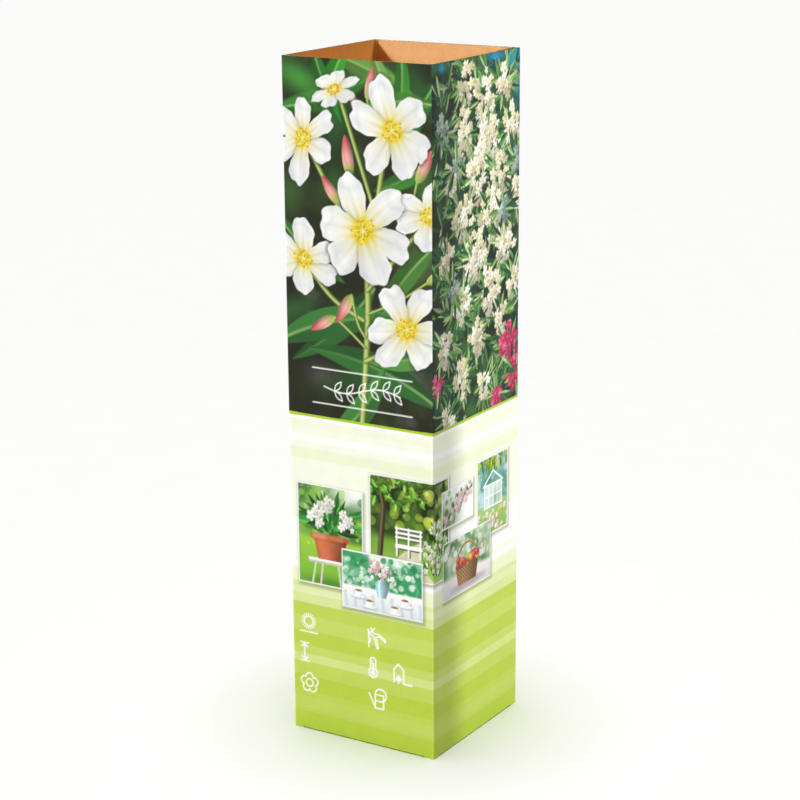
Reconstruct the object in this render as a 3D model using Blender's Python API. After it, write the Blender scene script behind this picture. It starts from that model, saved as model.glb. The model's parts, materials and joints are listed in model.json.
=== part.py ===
"""Tall open-topped cardboard carton for one potted plant.

A square tube of fine corrugated board stands on a bottom of four hinged flaps. The two side flaps lie
inside, the back flap under them, and the front flap outermost, with a tongue that locks in a slot of
the back flap. +Z is up, the front wall faces -Y, the right wall faces +X, and the origin is the middle
of the footprint. The tube's glued seam is at the back right corner.
"""

import math

import bmesh
import bpy
from mathutils import Vector

MM = 0.001

# Driving sizes
WIDTH = 100 * MM  # outer side of the square tube
HEIGHT = 410 * MM
BOARD = 1.6 * MM  # thickness of the corrugated board
GAP = 0.3 * MM  # clearance between neighbouring solids

# Corner creases of the tube
CORNER_RADIUS = 1.5 * MM  # rounding of the printed outside
CREASE_BEAD = 1.2 * MM  # radius of the bead that the crease raises inside
ARC_STEPS = 5

# Glue tab inside the right wall
TAB_WIDTH = 20 * MM
TAB_FOOT = 6 * MM  # height of its lower end, clear of the right flap

# Bottom flaps: lengths from the outer face of their own wall, along the floor
FLAP_INSET = 7 * MM  # from a flap's side edge to the outside of the tube
LAYER = BOARD + GAP  # rise from one flap's layer to the next
RAMP_END = 6.5 * MM  # where a flap has climbed to its own layer
FRONT_SHOULDER = 50 * MM
SHOULDER_CUT = 12 * MM  # the slanted corners beside the tongue
BACK_LENGTH = 51 * MM
SIDE_LENGTH = 47.5 * MM
SIDE_TAPER = 0.54  # how far a side flap narrows on each side for each unit of length
FLAP_ROUNDING = 4 * MM

# Tongue and slot
SLOT_MIDDLE = 61 * MM  # from the front wall
SLOT_DEPTH = 7 * MM
SLOT_WIDTH = 42 * MM
TONGUE_WIDTH = 38 * MM
TONGUE_TIP = 3 * MM  # the level end of the tongue, past its ramp
TONGUE_PLAY = 1 * MM  # from the tongue's end to the slot's edge

HALF = WIDTH / 2
FLAP_HALF_WIDTH = HALF - FLAP_INSET
CORNER_ARM = FLAP_INSET - GAP  # how far a corner runs along each of its walls
SEAM_INSET = BOARD + GAP  # the seam's crease lies inside the right wall
MITRE = GAP / math.sqrt(2)  # shifts each 45-degree crease face by half the clearance
CUTTER_REACH = 20 * MM  # how far cutters stand out of what they cut

# Colours in linear RGB
PRINT_FRONT = (0.42, 0.58, 0.12)
PRINT_SIDE = (0.34, 0.50, 0.09)
KRAFT = (0.42, 0.24, 0.11)


def remove_everything():
    """Remove the objects of the file that the script is started in."""
    for obj in list(bpy.data.objects):
        bpy.data.objects.remove(obj, do_unlink=True)


def board_material(name, colour, roughness):
    """Return a Principled material for printed or bare board."""
    material = bpy.data.materials.new(name)
    material.use_nodes = True
    shader = material.node_tree.nodes["Principled BSDF"]
    shader.inputs["Base Color"].default_value = (*colour, 1.0)
    shader.inputs["Roughness"].default_value = roughness
    shader.inputs["Metallic"].default_value = 0.0
    material.diffuse_color = (*colour, 1.0)
    return material


def arc(centre, radius, start, end):
    """Return the points of an arc about centre, with its angles in degrees."""
    points = []
    for step in range(ARC_STEPS + 1):
        angle = math.radians(start + (end - start) * step / ARC_STEPS)
        points.append((centre[0] + radius * math.cos(angle), centre[1] + radius * math.sin(angle)))
    return points


def rounded(corners):
    """Return a convex or concave outline with each corner (x, y, radius) rounded by a tangent arc."""
    outline = []
    for index, (x, y, radius) in enumerate(corners):
        corner = Vector((x, y))
        if radius == 0:
            outline.append((x, y))
            continue
        before = (Vector(corners[index - 1][:2]) - corner).normalized()
        after = (Vector(corners[(index + 1) % len(corners)][:2]) - corner).normalized()
        half_angle = before.angle(after) / 2
        centre = corner + (before + after).normalized() * radius / math.sin(half_angle)
        first = corner + before * radius / math.tan(half_angle) - centre
        last = corner + after * radius / math.tan(half_angle) - centre
        turn = math.atan2(first.x * last.y - first.y * last.x, first.dot(last))
        start = math.degrees(math.atan2(first.y, first.x))
        outline += arc(centre, radius, start, start + math.degrees(turn))
    return outline


def frame(name, location, quarter_turns):
    """Return an empty turned about Z, from which the pieces of one side or corner are placed."""
    empty = bpy.data.objects.new(name, None)
    empty.empty_display_size = 10 * MM
    empty.location = location
    empty.rotation_euler = (0, 0, quarter_turns * math.pi / 2)
    bpy.context.collection.objects.link(empty)
    return empty


def extrusion(name, points, sweep, parent, material=None):
    """Extrude the flat outline of 3-D points along the vector sweep into a closed solid."""
    bm = bmesh.new()
    face = bm.faces.new([bm.verts.new(point) for point in points])
    swept = bmesh.ops.extrude_face_region(bm, geom=[face])["geom"]
    bmesh.ops.translate(bm, vec=sweep, verts=[v for v in swept if isinstance(v, bmesh.types.BMVert)])
    bmesh.ops.recalc_face_normals(bm, faces=bm.faces)
    mesh = bpy.data.meshes.new(name)
    bm.to_mesh(mesh)
    bm.free()
    obj = bpy.data.objects.new(name, mesh)
    bpy.context.collection.objects.link(obj)
    obj.parent = parent
    if material is not None:
        mesh.materials.append(material)
    return obj


def along_side(name, profile, start, end, parent, material=None):
    """Extrude a (depth, height) profile along a wall, from start to end."""
    points = [(start, depth, height) for depth, height in profile]
    return extrusion(name, points, Vector((end - start, 0, 0)), parent, material)


def upright(name, outline, bottom, top, parent, material=None):
    """Extrude a plan outline from the height bottom to top."""
    points = [(x, y, bottom) for x, y in outline]
    return extrusion(name, points, Vector((0, 0, top - bottom)), parent, material)


def cut(obj, cutter, operation):
    """Combine obj with a cutter that is kept out of the model."""
    cutter.display_type = "WIRE"
    cutter.hide_render = True
    modifier = obj.modifiers.new(cutter.name, "BOOLEAN")
    modifier.operation = operation
    modifier.solver = "EXACT"
    modifier.object = cutter


def make_wall(side, name, start, end, material):
    """A flat wall whose foot is mitred for the bottom crease."""
    profile = [(0, MITRE), (BOARD, BOARD + MITRE), (BOARD, HEIGHT), (0, HEIGHT)]
    return along_side(name, profile, start, end, side, material)


def make_corner(name, location, quarter_turns, first_arm, material):
    """A vertical crease: rounded outside, with a raised bead along the fold inside.

    first_arm is the length of the arm that leads clockwise, seen from above.
    """
    corner = frame(name + "_frame", location, quarter_turns)
    outline = [(first_arm, 0), (first_arm, BOARD)]
    outline += reversed(arc((BOARD, BOARD), CREASE_BEAD, 90, 0))
    outline += [(BOARD, CORNER_ARM), (0, CORNER_ARM)]
    outline += arc((CORNER_RADIUS, CORNER_RADIUS), CORNER_RADIUS, 180, 270)
    return upright(name, outline, 0, HEIGHT, corner, material)


def board_profile(steps):
    """Thicken a polyline of a flap's underside to the board's thickness, with a mitred crease end.

    steps holds (depth, height) points that follow the first one, which lies on the crease.
    """
    lower = [Vector((MITRE, 0))] + [Vector(step) for step in steps]
    upper = [Vector((BOARD + MITRE, BOARD))]
    for before, here, after in zip(lower, lower[1:], lower[2:]):
        normals = []
        for first, last in ((before, here), (here, after)):
            along = (last - first).normalized()
            normals.append(Vector((-along.y, along.x)))
        bisector = (normals[0] + normals[1]) / (1 + normals[0].dot(normals[1]))
        upper.append(here + bisector * BOARD)
    upper.append(lower[-1] + Vector((0, BOARD)))
    return [tuple(point) for point in lower + upper[::-1]]


def climb(rise):
    """The underside of a flap that climbs by rise: where the ramp starts, and where it ends."""
    slope = math.atan2(rise, RAMP_END - BOARD - 2 * MITRE)
    start = BOARD + 2 * MITRE + BOARD * math.tan(slope / 2)
    return [(start, 0), (RAMP_END, rise)]


def make_flap(side, name, profile, plan, material):
    """A flap with the given (depth, height) profile, trimmed to its plan outline."""
    flap = along_side(name, profile, -FLAP_HALF_WIDTH, FLAP_HALF_WIDTH, side, material)
    trim = upright(name + "_trim", plan, -CUTTER_REACH, CUTTER_REACH, side)
    cut(flap, trim, "INTERSECT")
    return flap


def make_front_flap(side, material):
    """The outermost flap. Its tongue is cranked up through the back flap's slot, flush with its top."""
    tongue_end = SLOT_MIDDLE + SLOT_DEPTH / 2 - TONGUE_PLAY
    tongue_tip = tongue_end - TONGUE_TIP
    profile = board_profile([(tongue_tip - LAYER, 0), (tongue_tip, LAYER), (tongue_end, LAYER)])
    wide = FLAP_HALF_WIDTH + CUTTER_REACH
    shoulder = FLAP_HALF_WIDTH - SHOULDER_CUT
    edge = FRONT_SHOULDER - SHOULDER_CUT
    half_tongue = TONGUE_WIDTH / 2
    plan = rounded(
        [
            (-wide, -CUTTER_REACH, 0),
            (wide, -CUTTER_REACH, 0),
            (wide, edge - CUTTER_REACH, 0),
            (shoulder, FRONT_SHOULDER, FLAP_ROUNDING),
            (half_tongue + FLAP_ROUNDING, FRONT_SHOULDER, 0),
            (half_tongue, FRONT_SHOULDER + FLAP_ROUNDING, 0),
            (half_tongue, tongue_end + CUTTER_REACH, 0),
            (-half_tongue, tongue_end + CUTTER_REACH, 0),
            (-half_tongue, FRONT_SHOULDER + FLAP_ROUNDING, 0),
            (-half_tongue - FLAP_ROUNDING, FRONT_SHOULDER, 0),
            (-shoulder, FRONT_SHOULDER, FLAP_ROUNDING),
            (-wide, edge - CUTTER_REACH, 0),
        ]
    )
    return make_flap(side, "flap_front", profile, plan, material)


def make_back_flap(side, material):
    """The second flap, one layer up, with the slot for the tongue."""
    profile = board_profile(climb(LAYER) + [(BACK_LENGTH, LAYER)])
    wide = FLAP_HALF_WIDTH
    plan = rounded(
        [
            (-wide - MITRE, -CUTTER_REACH, 0),
            (wide + MITRE, -CUTTER_REACH, 0),
            (wide + MITRE, BACK_LENGTH - GAP, FLAP_ROUNDING),
            (-wide - MITRE, BACK_LENGTH - GAP, FLAP_ROUNDING),
        ]
    )
    flap = make_flap(side, "flap_back", profile, plan, material)
    middle = WIDTH - SLOT_MIDDLE
    near, far = middle - SLOT_DEPTH / 2, middle + SLOT_DEPTH / 2
    slot = [(-SLOT_WIDTH / 2, near), (SLOT_WIDTH / 2, near), (SLOT_WIDTH / 2, far), (-SLOT_WIDTH / 2, far)]
    cutter = upright("slot_cutter", slot, -CUTTER_REACH, CUTTER_REACH, side)
    cut(flap, cutter, "DIFFERENCE")
    return flap


def make_side_flap(side, name, material):
    """An inner flap, two layers up and tapered, so that it clears the other flaps as they swing."""
    rise = 2 * LAYER
    profile = board_profile(climb(rise) + [(SIDE_LENGTH + GAP, rise)])
    base = FLAP_HALF_WIDTH
    tip = base - SIDE_TAPER * (SIDE_LENGTH - RAMP_END)
    plan = rounded(
        [
            (-base - MITRE, -CUTTER_REACH, 0),
            (base + MITRE, -CUTTER_REACH, 0),
            (base + MITRE, RAMP_END, 0),
            (tip, SIDE_LENGTH, FLAP_ROUNDING),
            (-tip, SIDE_LENGTH, FLAP_ROUNDING),
            (-base - MITRE, RAMP_END, 0),
        ]
    )
    return make_flap(side, name, profile, plan, material)


def main():
    """Build the carton with its four flaps closed."""
    remove_everything()
    front_print = board_material("print_front", PRINT_FRONT, 0.45)
    side_print = board_material("print_side", PRINT_SIDE, 0.45)
    kraft = board_material("kraft_liner", KRAFT, 0.9)

    front = frame("side_front", (0, -HALF, 0), 0)
    right = frame("side_right", (HALF, 0, 0), 1)
    back = frame("side_back", (0, HALF, 0), 2)
    left = frame("side_left", (-HALF, 0, 0), 3)

    make_wall(front, "wall_front", -FLAP_HALF_WIDTH, FLAP_HALF_WIDTH, front_print)
    make_wall(right, "wall_right", -FLAP_HALF_WIDTH, HALF, side_print)
    make_wall(back, "wall_back", -FLAP_HALF_WIDTH, FLAP_HALF_WIDTH, front_print)
    make_wall(left, "wall_left", -FLAP_HALF_WIDTH, FLAP_HALF_WIDTH, side_print)

    seam_arm = CORNER_ARM - SEAM_INSET
    make_corner("corner_front_left", (-HALF, -HALF, 0), 0, CORNER_ARM, front_print)
    make_corner("corner_front_right", (HALF, -HALF, 0), 1, CORNER_ARM, front_print)
    make_corner("corner_back_right", (HALF - SEAM_INSET, HALF, 0), 2, seam_arm, front_print)
    make_corner("corner_back_left", (-HALF, HALF, 0), 3, CORNER_ARM, front_print)

    tab = [(SEAM_INSET, TAB_FOOT), (SEAM_INSET + BOARD, TAB_FOOT)]
    tab += [(SEAM_INSET + BOARD, HEIGHT), (SEAM_INSET, HEIGHT)]
    along_side("glue_tab", tab, HALF - BOARD - TAB_WIDTH, FLAP_HALF_WIDTH, right, kraft)

    make_front_flap(front, front_print)
    make_back_flap(back, kraft)
    make_side_flap(right, "flap_right", kraft)
    make_side_flap(left, "flap_left", kraft)
    bpy.context.view_layer.update()


main()
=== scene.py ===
import json
import math

import bmesh
import bpy
import numpy as np
from bpy.props import FloatProperty, FloatVectorProperty, IntProperty, PointerProperty
from mathutils import Matrix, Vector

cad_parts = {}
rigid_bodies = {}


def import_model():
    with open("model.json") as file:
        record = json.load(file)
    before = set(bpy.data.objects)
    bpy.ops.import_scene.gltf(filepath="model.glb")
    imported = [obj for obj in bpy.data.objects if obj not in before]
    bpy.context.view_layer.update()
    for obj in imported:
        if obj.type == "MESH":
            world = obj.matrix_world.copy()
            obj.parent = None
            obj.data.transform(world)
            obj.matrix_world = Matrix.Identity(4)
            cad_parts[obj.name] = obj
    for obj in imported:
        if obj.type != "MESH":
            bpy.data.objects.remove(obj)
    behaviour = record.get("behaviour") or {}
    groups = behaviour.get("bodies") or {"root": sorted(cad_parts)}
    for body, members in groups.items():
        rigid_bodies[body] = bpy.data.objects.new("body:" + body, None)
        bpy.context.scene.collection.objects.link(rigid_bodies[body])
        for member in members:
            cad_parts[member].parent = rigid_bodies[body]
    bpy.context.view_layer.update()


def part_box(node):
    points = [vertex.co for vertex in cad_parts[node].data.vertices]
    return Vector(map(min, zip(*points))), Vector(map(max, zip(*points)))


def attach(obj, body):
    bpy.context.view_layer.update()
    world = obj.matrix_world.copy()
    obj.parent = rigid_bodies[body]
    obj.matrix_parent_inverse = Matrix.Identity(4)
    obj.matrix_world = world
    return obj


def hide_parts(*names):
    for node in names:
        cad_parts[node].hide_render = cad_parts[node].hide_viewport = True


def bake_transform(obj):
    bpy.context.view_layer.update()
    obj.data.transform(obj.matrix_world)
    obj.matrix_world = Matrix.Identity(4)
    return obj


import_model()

bl_info = {
    "name": "Plant Carton",
    "version": (1, 0, 0),
    "blender": (4, 5, 0),
    "location": "3D View > Sidebar > Carton",
    "description": "Printed corrugated board, creases and flaps of a tall plant carton",
    "category": "Mesh",
}

MM = 0.001
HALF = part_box("wall_right")[1].x / MM  # half the tube's side, mm
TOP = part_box("wall_front")[1].z / MM  # height of the tube, mm
BOARD = (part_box("wall_front")[1].y + HALF * MM) / MM  # thickness of the board, mm
FACE = 2 * HALF  # one side's share of the print, mm
GAP = 0.3  # between two layers of board, mm
LAYER = BOARD + GAP  # from one layer of board to the next, mm
NOTCH = 43.15  # a wall ends here, beside the notch that frees its flap, mm from its middle
ARM = HALF - NOTCH  # a corner's arm reaches this far along a wall, mm
CREASE_END = 2.024  # where a bottom crease passes into wall and flap, mm from the outside
QUARTERS = ("front", "right", "back", "left")  # in the order that the print runs round
SHARP = math.radians(35)  # edges between faces that lean more than this stay sharp

# the flaps, in mm: depths count from the outside of the flap's own wall
FLAP = 43.0  # half the width of a flap at its crease
RAMP_END = 6.5  # a flap has climbed to its own layer here
ROUND = 4.0  # radius of the corners
FRONT_END, BACK_END, SIDE_END = 50.0, 50.7, 47.5  # free edges
SLANT = 38.0  # the front flap's sides slant in at 45 degrees from here
ROOT = 23.0  # half the width of the tongue's root
TONGUE = (58.6, 60.5, 63.5)  # the tongue starts to climb, has climbed one layer, and ends
TAPER = 0.54  # half a side flap's width falls by this much per mm of depth
SLOT = (35.5, 42.5)  # the back flap's slot
SLOT_HALF = 21.0  # half the slot's width
BLEED = (8.8, 9.3)  # the lime fades out between these depths

FLUTE_STEP = 0.25  # between two points of a flute's wave, mm
CRUSHED = 0.12  # share of their swing that the flutes keep along a corner's crease
LINING_ROWS = 20  # from one row of a lining's points to the next, mm
HIGHLIGHT_ANGLE = 25  # painted highlight lines on the corner's bead lie this far on each side of its crest, degrees
FLOOR_REACH, FLOOR_DROP, FLOOR_THICK = 40000, 0.02, 50  # the floor's half side, place under z = 0 and depth, mm
SHADE = (14, 42)  # the painted shade beside a narrow side's leading corner fades out between these, mm from that corner


def display(colour):
    """Display values 0 to 1 of a hex text. Values that are given as numbers pass through."""
    if isinstance(colour, str):
        colour = [int(colour[i : i + 2], 16) / 255 for i in (1, 3, 5)]
    return np.asarray(colour, float)


def linear(colour):
    """The one way from sRGB to linear: a hex text or an array of display values 0 to 1."""
    colour = display(colour)
    return np.where(colour <= 0.04045, colour / 12.92, ((colour + 0.055) / 1.055) ** 2.4)


def encoded(colour):
    """A linear colour as display values 0 to 1."""
    colour = np.asarray(colour, float)
    return np.where(colour <= 0.0031308, colour * 12.92, 1.055 * colour ** (1 / 2.4) - 0.055)


def paint(name, code, description):
    """A colour property with this hex default."""
    settings = {"name": name, "description": description, "default": tuple(linear(code))}
    return FloatVectorProperty(**settings, size=3, subtype="COLOR", min=0, max=1)


def length(name, millimetres, description):
    """A length property with this default."""
    settings = {"name": name, "description": description, "default": millimetres * MM}
    return FloatProperty(**settings, unit="LENGTH", precision=5)


def strength(name, default, description):
    """A property that says how strong a light is."""
    return FloatProperty(name=name, description=description, default=default, min=0)


def degrees(name, value, description):
    """An angle property with this default."""
    return FloatProperty(name=name, description=description, default=math.radians(value), subtype="ANGLE")


class CartonBoard(bpy.types.PropertyGroup):
    """The corrugated board and its creases."""

    liner: length("Liner", 0.25, "Thickness of the paper on each side of the flutes")
    medium: length("Medium", 0.18, "Thickness of the fluted paper")
    pitch: length("Flute Pitch", 3.3, "From one flute to the next")
    washboard: length("Washboard", 0.035, "Depth of the waves that the flutes leave in the inner liner")
    outer_radius: length("Corner Radius", 1.5, "Rounding of the printed outside at a crease")
    bead: length("Crease Bead", 1.2, "Radius of the bead that a crease raises inside")
    kraft: paint("Kraft", "#F3C082", "Bare inner liner")
    fluting: paint("Fluting", "#A9794B", "Fluted paper in the cut edges")


class CartonPrint(bpy.types.PropertyGroup):
    """The print that runs round the outside."""

    step: length("Print Step", 0.5, "Distance between two painted points")
    picture: length("Picture Depth", 209.7, "From the top edge to the middle of the lime line")
    line: length("Line", 1.7, "Thickness of the lime line under the picture")
    lime: paint("Lime", "#BAD045", "Full strength of the bands")
    white: paint("White", "#FEFDFC", "Coated white between the bands")
    petal: paint("Petal", "#F4F4F2", "Blossoms of the large picture")
    throat: paint("Throat", "#E4C824", "Middles of the blossoms")
    shadow: paint("Deep Green", "#26271A", "Darkest ground of the pictures")
    sky: paint("Sky", "#1C9BD2", "Sky between the branches")
    accent: paint("Accent", "#D42C68", "Magenta blooms in the hedge")
    seed: IntProperty(name="Seed", description="Arrangement of the small leaves and florets", default=7, min=0)


class CartonStage(bpy.types.PropertyGroup):
    """Floor, lights and camera."""

    floor: paint("Floor", "#FCFCFB", "Pale floor")
    sky: strength("Sky", 0.06, "Strength of the even light all round")
    backdrop: strength("Backdrop", 0.98, "Brightness of the sky behind the floor")
    key: strength("Key", 1.1, "Strength of the soft sun from the front left")
    fill: strength("Fill", 3.1, "Strength of the soft sun from the right")
    top: strength("Top", 3.0, "Strength of the soft sun from above")
    front: strength("Front", 1.64, "Strength of the soft suns from the front and the left")
    rear: strength("Rear", 3.1, "Strength of the soft sun from behind")
    inside: strength("Inside", 2.4, "Strength that the key gains on the bare board deep in the tube")
    left: strength("Left", 1.28, "Strength of the warm light inside the left wall")
    warm: paint("Warm", "#FFD89A", "Tint of the light that the bare board throws on its left wall")
    lens: FloatProperty(name="Lens", description="Focal length", default=97.66, unit="CAMERA")
    heading: degrees("Heading", 31.69, "Turn of the camera about the vertical")
    pitch: degrees("Pitch", 15.245, "How far the camera looks down")
    roll: degrees("Roll", -0.417, "Turn of the camera about its own axis")
    place: FloatVectorProperty(
        name="Place",
        description="Where the camera stands",
        size=3,
        subtype="TRANSLATION",
        default=(0.65673, -1.06851, 0.54440),
    )


# ---------------------------------------------------------------- meshes


def smooth(value, low, high):
    """0 up to low, 1 from high on, and 3t^2 - 2t^3 of the share t between them."""
    t = np.clip((value - low) / (high - low), 0, 1)
    return t * t * (3 - 2 * t)


def span(start, end, step):
    """Evenly spaced values from start to end, about step apart."""
    return np.linspace(start, end, max(2, round(abs(end - start) / step) + 1))


PLACES = {  # origin in plan, mm, and quarter turns
    "front": (0, -HALF, 0),
    "right": (HALF, 0, 1),
    "back": (0, HALF, 2),
    "left": (-HALF, 0, 3),
    "front_left": (-HALF, -HALF, 0),
    "front_right": (HALF, -HALF, 1),
    "back_right": (HALF - LAYER, HALF, 2),
    "back_left": (-HALF, HALF, 3),
}
CORNERS = {  # length of the clockwise arm and place on the print, mm
    "front_left": (ARM, 0.0),
    "front_right": (ARM, FACE),
    "back_right": (ARM - LAYER, 2 * FACE + LAYER),
    "back_left": (ARM, 3 * FACE),
}


def place(where, a, b, w):
    """Points of a side or a corner in mm, with w up.

    On a side a runs right from its middle, seen from outside, and b inwards. On a corner they run along its
    clockwise arm and along the other one.
    """
    x, y, turns = PLACES[where]
    c, s = ((1, 0), (0, 1), (-1, 0), (0, -1))[turns]
    a, b, w = np.broadcast_arrays(a, b, w)
    return np.stack([x + c * a - s * b, y + s * a + c * b, w], -1)


def thin_sheet(front, back):
    """A closed sheet: a fine grid of quads in front, the same rows with fewer columns behind, flat ends."""
    rows, cols = front.shape[:2]
    few = back.shape[1]
    f = np.arange(rows * cols).reshape(rows, cols)
    b = rows * cols + np.arange(rows * few).reshape(rows, few)
    quads = [
        np.stack([f[:-1, :-1], f[:-1, 1:], f[1:, 1:], f[1:, :-1]], -1).reshape(-1, 4),
        np.stack([b[:-1, :-1], b[1:, :-1], b[1:, 1:], b[:-1, 1:]], -1).reshape(-1, 4),
        np.stack([f[:-1, 0], f[1:, 0], b[1:, 0], b[:-1, 0]], -1),
        np.stack([f[1:, -1], f[:-1, -1], b[:-1, -1], b[1:, -1]], -1),
    ]
    ends = [np.concatenate([f[0, ::-1], b[0]]), np.concatenate([f[-1], b[-1, ::-1]])]
    return np.concatenate([front.reshape(-1, 3), back.reshape(-1, 3)]), np.concatenate(quads), ends


def closed_shell(front, back, keep=None):
    """A closed sheet between two like grids: kept cells in front and behind, and a wall along their borders."""
    rows, cols = front.shape[:2]
    count = rows * cols
    index = np.arange(count).reshape(rows, cols)
    keep = np.ones((rows - 1, cols - 1), bool) if keep is None else keep
    cells = np.stack([index[:-1, :-1], index[:-1, 1:], index[1:, 1:], index[1:, :-1]], -1)
    quads = [cells[keep], cells[keep][:, ::-1] + count]
    near = np.pad(keep, 1)
    for down, right, a, b in ((-1, 0, 0, 1), (0, 1, 1, 2), (1, 0, 2, 3), (0, -1, 3, 0)):
        beside = near[1 + down : rows + down, 1 + right : cols + right]
        edge = cells[keep & ~beside]
        quads.append(np.stack([edge[:, b], edge[:, a], edge[:, a] + count, edge[:, b] + count], -1))
    return np.concatenate([front.reshape(-1, 3), back.reshape(-1, 3)]), np.concatenate(quads), []


def loop_prism(loops):
    """A closed bar through like loops of points, which run clockwise seen from the first one's side."""
    sections, count = len(loops) - 1, len(loops[0])
    here = np.arange(count)
    after = np.roll(here, -1)
    quads = np.stack([here, after, after + count, here + count], -1)
    quads = (quads[None] + count * np.arange(sections)[:, None, None]).reshape(-1, 4)
    return np.concatenate(loops), quads, [here[::-1], here + count * sections]


def make_piece(name, shape, recipe, ink=None, weld=False, body="carton", stands_for=None):
    """A mesh object in the row frame from points in mm, quads and polygons, with the ink of each point."""
    points, quads, polygons = shape
    mesh = bpy.data.meshes.new(name)
    sizes = np.concatenate([np.full(len(quads), 4), np.array([len(p) for p in polygons], int)])
    loops = np.concatenate([quads.ravel(), *polygons])
    mesh.vertices.add(len(points))
    mesh.vertices.foreach_set("co", (points * MM).astype(np.float32).ravel())
    mesh.loops.add(len(loops))
    mesh.loops.foreach_set("vertex_index", loops.astype(np.int32))
    mesh.polygons.add(len(sizes))
    mesh.polygons.foreach_set("loop_start", (np.cumsum(sizes) - sizes).astype(np.int32))
    mesh.update(calc_edges=True)
    if ink is not None:
        colours = np.ones((len(points), 4), np.float32)
        colours[: len(ink), :3] = ink
        mesh.attributes.new("ink", "FLOAT_COLOR", "POINT").data.foreach_set("color", colours.ravel())
    if weld:
        weld_mesh(mesh)
    mesh.validate()
    mesh.shade_smooth()
    mesh.set_sharp_from_angle(angle=SHARP)
    mesh.materials.append(material(recipe))
    obj = bpy.data.objects.new(name, mesh)
    bpy.context.scene.collection.objects.link(obj)
    if body:
        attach(obj, body)
    if stands_for:
        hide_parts(stands_for)
    return obj


def weld_mesh(mesh):
    """Merge points that coincide and drop points that no face uses."""
    bm = bmesh.new()
    bm.from_mesh(mesh)
    bmesh.ops.remove_doubles(bm, verts=bm.verts, dist=1e-6)
    bmesh.ops.dissolve_degenerate(bm, edges=bm.edges, dist=1e-6)
    bmesh.ops.delete(bm, geom=[v for v in bm.verts if not v.link_faces], context="VERTS")
    bm.to_mesh(mesh)
    bm.free()


# ---------------------------------------------------------------- materials


def add(tree, kind, inputs=(), **settings):
    """Add a node with its settings. Its inputs are numbers, colours or other nodes' sockets."""
    node = tree.nodes.new(kind)
    for key, value in settings.items():
        setattr(node, key, value)
    for socket, value in dict(inputs).items():
        if isinstance(value, bpy.types.NodeSocket):
            tree.links.new(value, node.inputs[socket])
        else:
            node.inputs[socket].default_value = value
    return node


def material(recipe):
    """The material named after its recipe, which fills the inputs of its shader when it is first asked for."""
    made = bpy.data.materials.get(recipe.__name__)
    if made is None:
        made = bpy.data.materials.new(recipe.__name__)
        made.use_nodes = True
        tree = made.node_tree
        tree.nodes.clear()
        shader = add(tree, "ShaderNodeBsdfPrincipled", recipe(tree))
        add(tree, "ShaderNodeOutputMaterial", {"Surface": shader.outputs["BSDF"]})
    return made


def noise(tree, size, detail, rise=None):
    """Noise in the object's own coordinates, in cells of this size in metres, flatter upwards by rise."""
    where = add(tree, "ShaderNodeTexCoord").outputs["Object"]
    if rise:
        where = add(tree, "ShaderNodeMapping", {"Vector": where, "Scale": (1.0, 1.0, rise)}).outputs[0]
    inputs = {"Vector": where, "Scale": 1 / size, "Detail": detail}
    return add(tree, "ShaderNodeTexNoise", inputs).outputs["Fac"]


def ranged(tree, value, *limits):
    """A value carried from its first two limits to the other two, and held there."""
    names = ("Value", "From Min", "From Max", "To Min", "To Max")
    return add(tree, "ShaderNodeMapRange", dict(zip(names, (value, *limits)))).outputs["Result"]


def opaque(colour):
    """A linear colour held to 1, with full alpha."""
    return (*np.minimum(colour, 1), 1)


def ramp(tree, value, *stops):
    """A ramp between two colours at their positions."""
    node = add(tree, "ShaderNodeValToRGB", {"Fac": value})
    for element, (position, colour) in zip(node.color_ramp.elements, stops):
        element.position, element.color = position, opaque(colour)
    return node.outputs["Color"]


def blended(tree, share, low, high, how="MIX"):
    """Two colours blended by a share."""
    return add(tree, "ShaderNodeMix", {0: share, 6: low, 7: high}, data_type="RGBA", blend_type=how).outputs[2]


def bumped(tree, height, amount, depth):
    """A normal that leans with this height, over a depth in metres."""
    inputs = {"Height": height, "Strength": amount, "Distance": depth}
    return add(tree, "ShaderNodeBump", inputs).outputs["Normal"]


def offset_print_on_coated_liner(tree):
    """Offset ink on white coated kraftliner: nearly matt, finely mottled where the ink lies on the fibres."""
    ink = add(tree, "ShaderNodeAttribute", attribute_name="ink").outputs["Color"]
    # a mottle of 0.5 mm from the fibres, and clouds of 9 mm where the sheet took the ink unevenly
    mottle, cloud = noise(tree, 0.0005, 3), noise(tree, 0.009, 2)
    both = add(tree, "ShaderNodeMath", {0: mottle, 1: cloud}, operation="ADD").outputs[0]
    return {
        "Base Color": blended(tree, 1.0, ink, ranged(tree, both, 0.7, 1.3, 0.97, 1.03), "MULTIPLY"),
        "Roughness": ranged(tree, mottle, 0.3, 0.7, 0.42, 0.56),
        "Specular IOR Level": 0.12,
        "Normal": bumped(tree, mottle, 0.12, 0.00003),
    }


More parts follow.
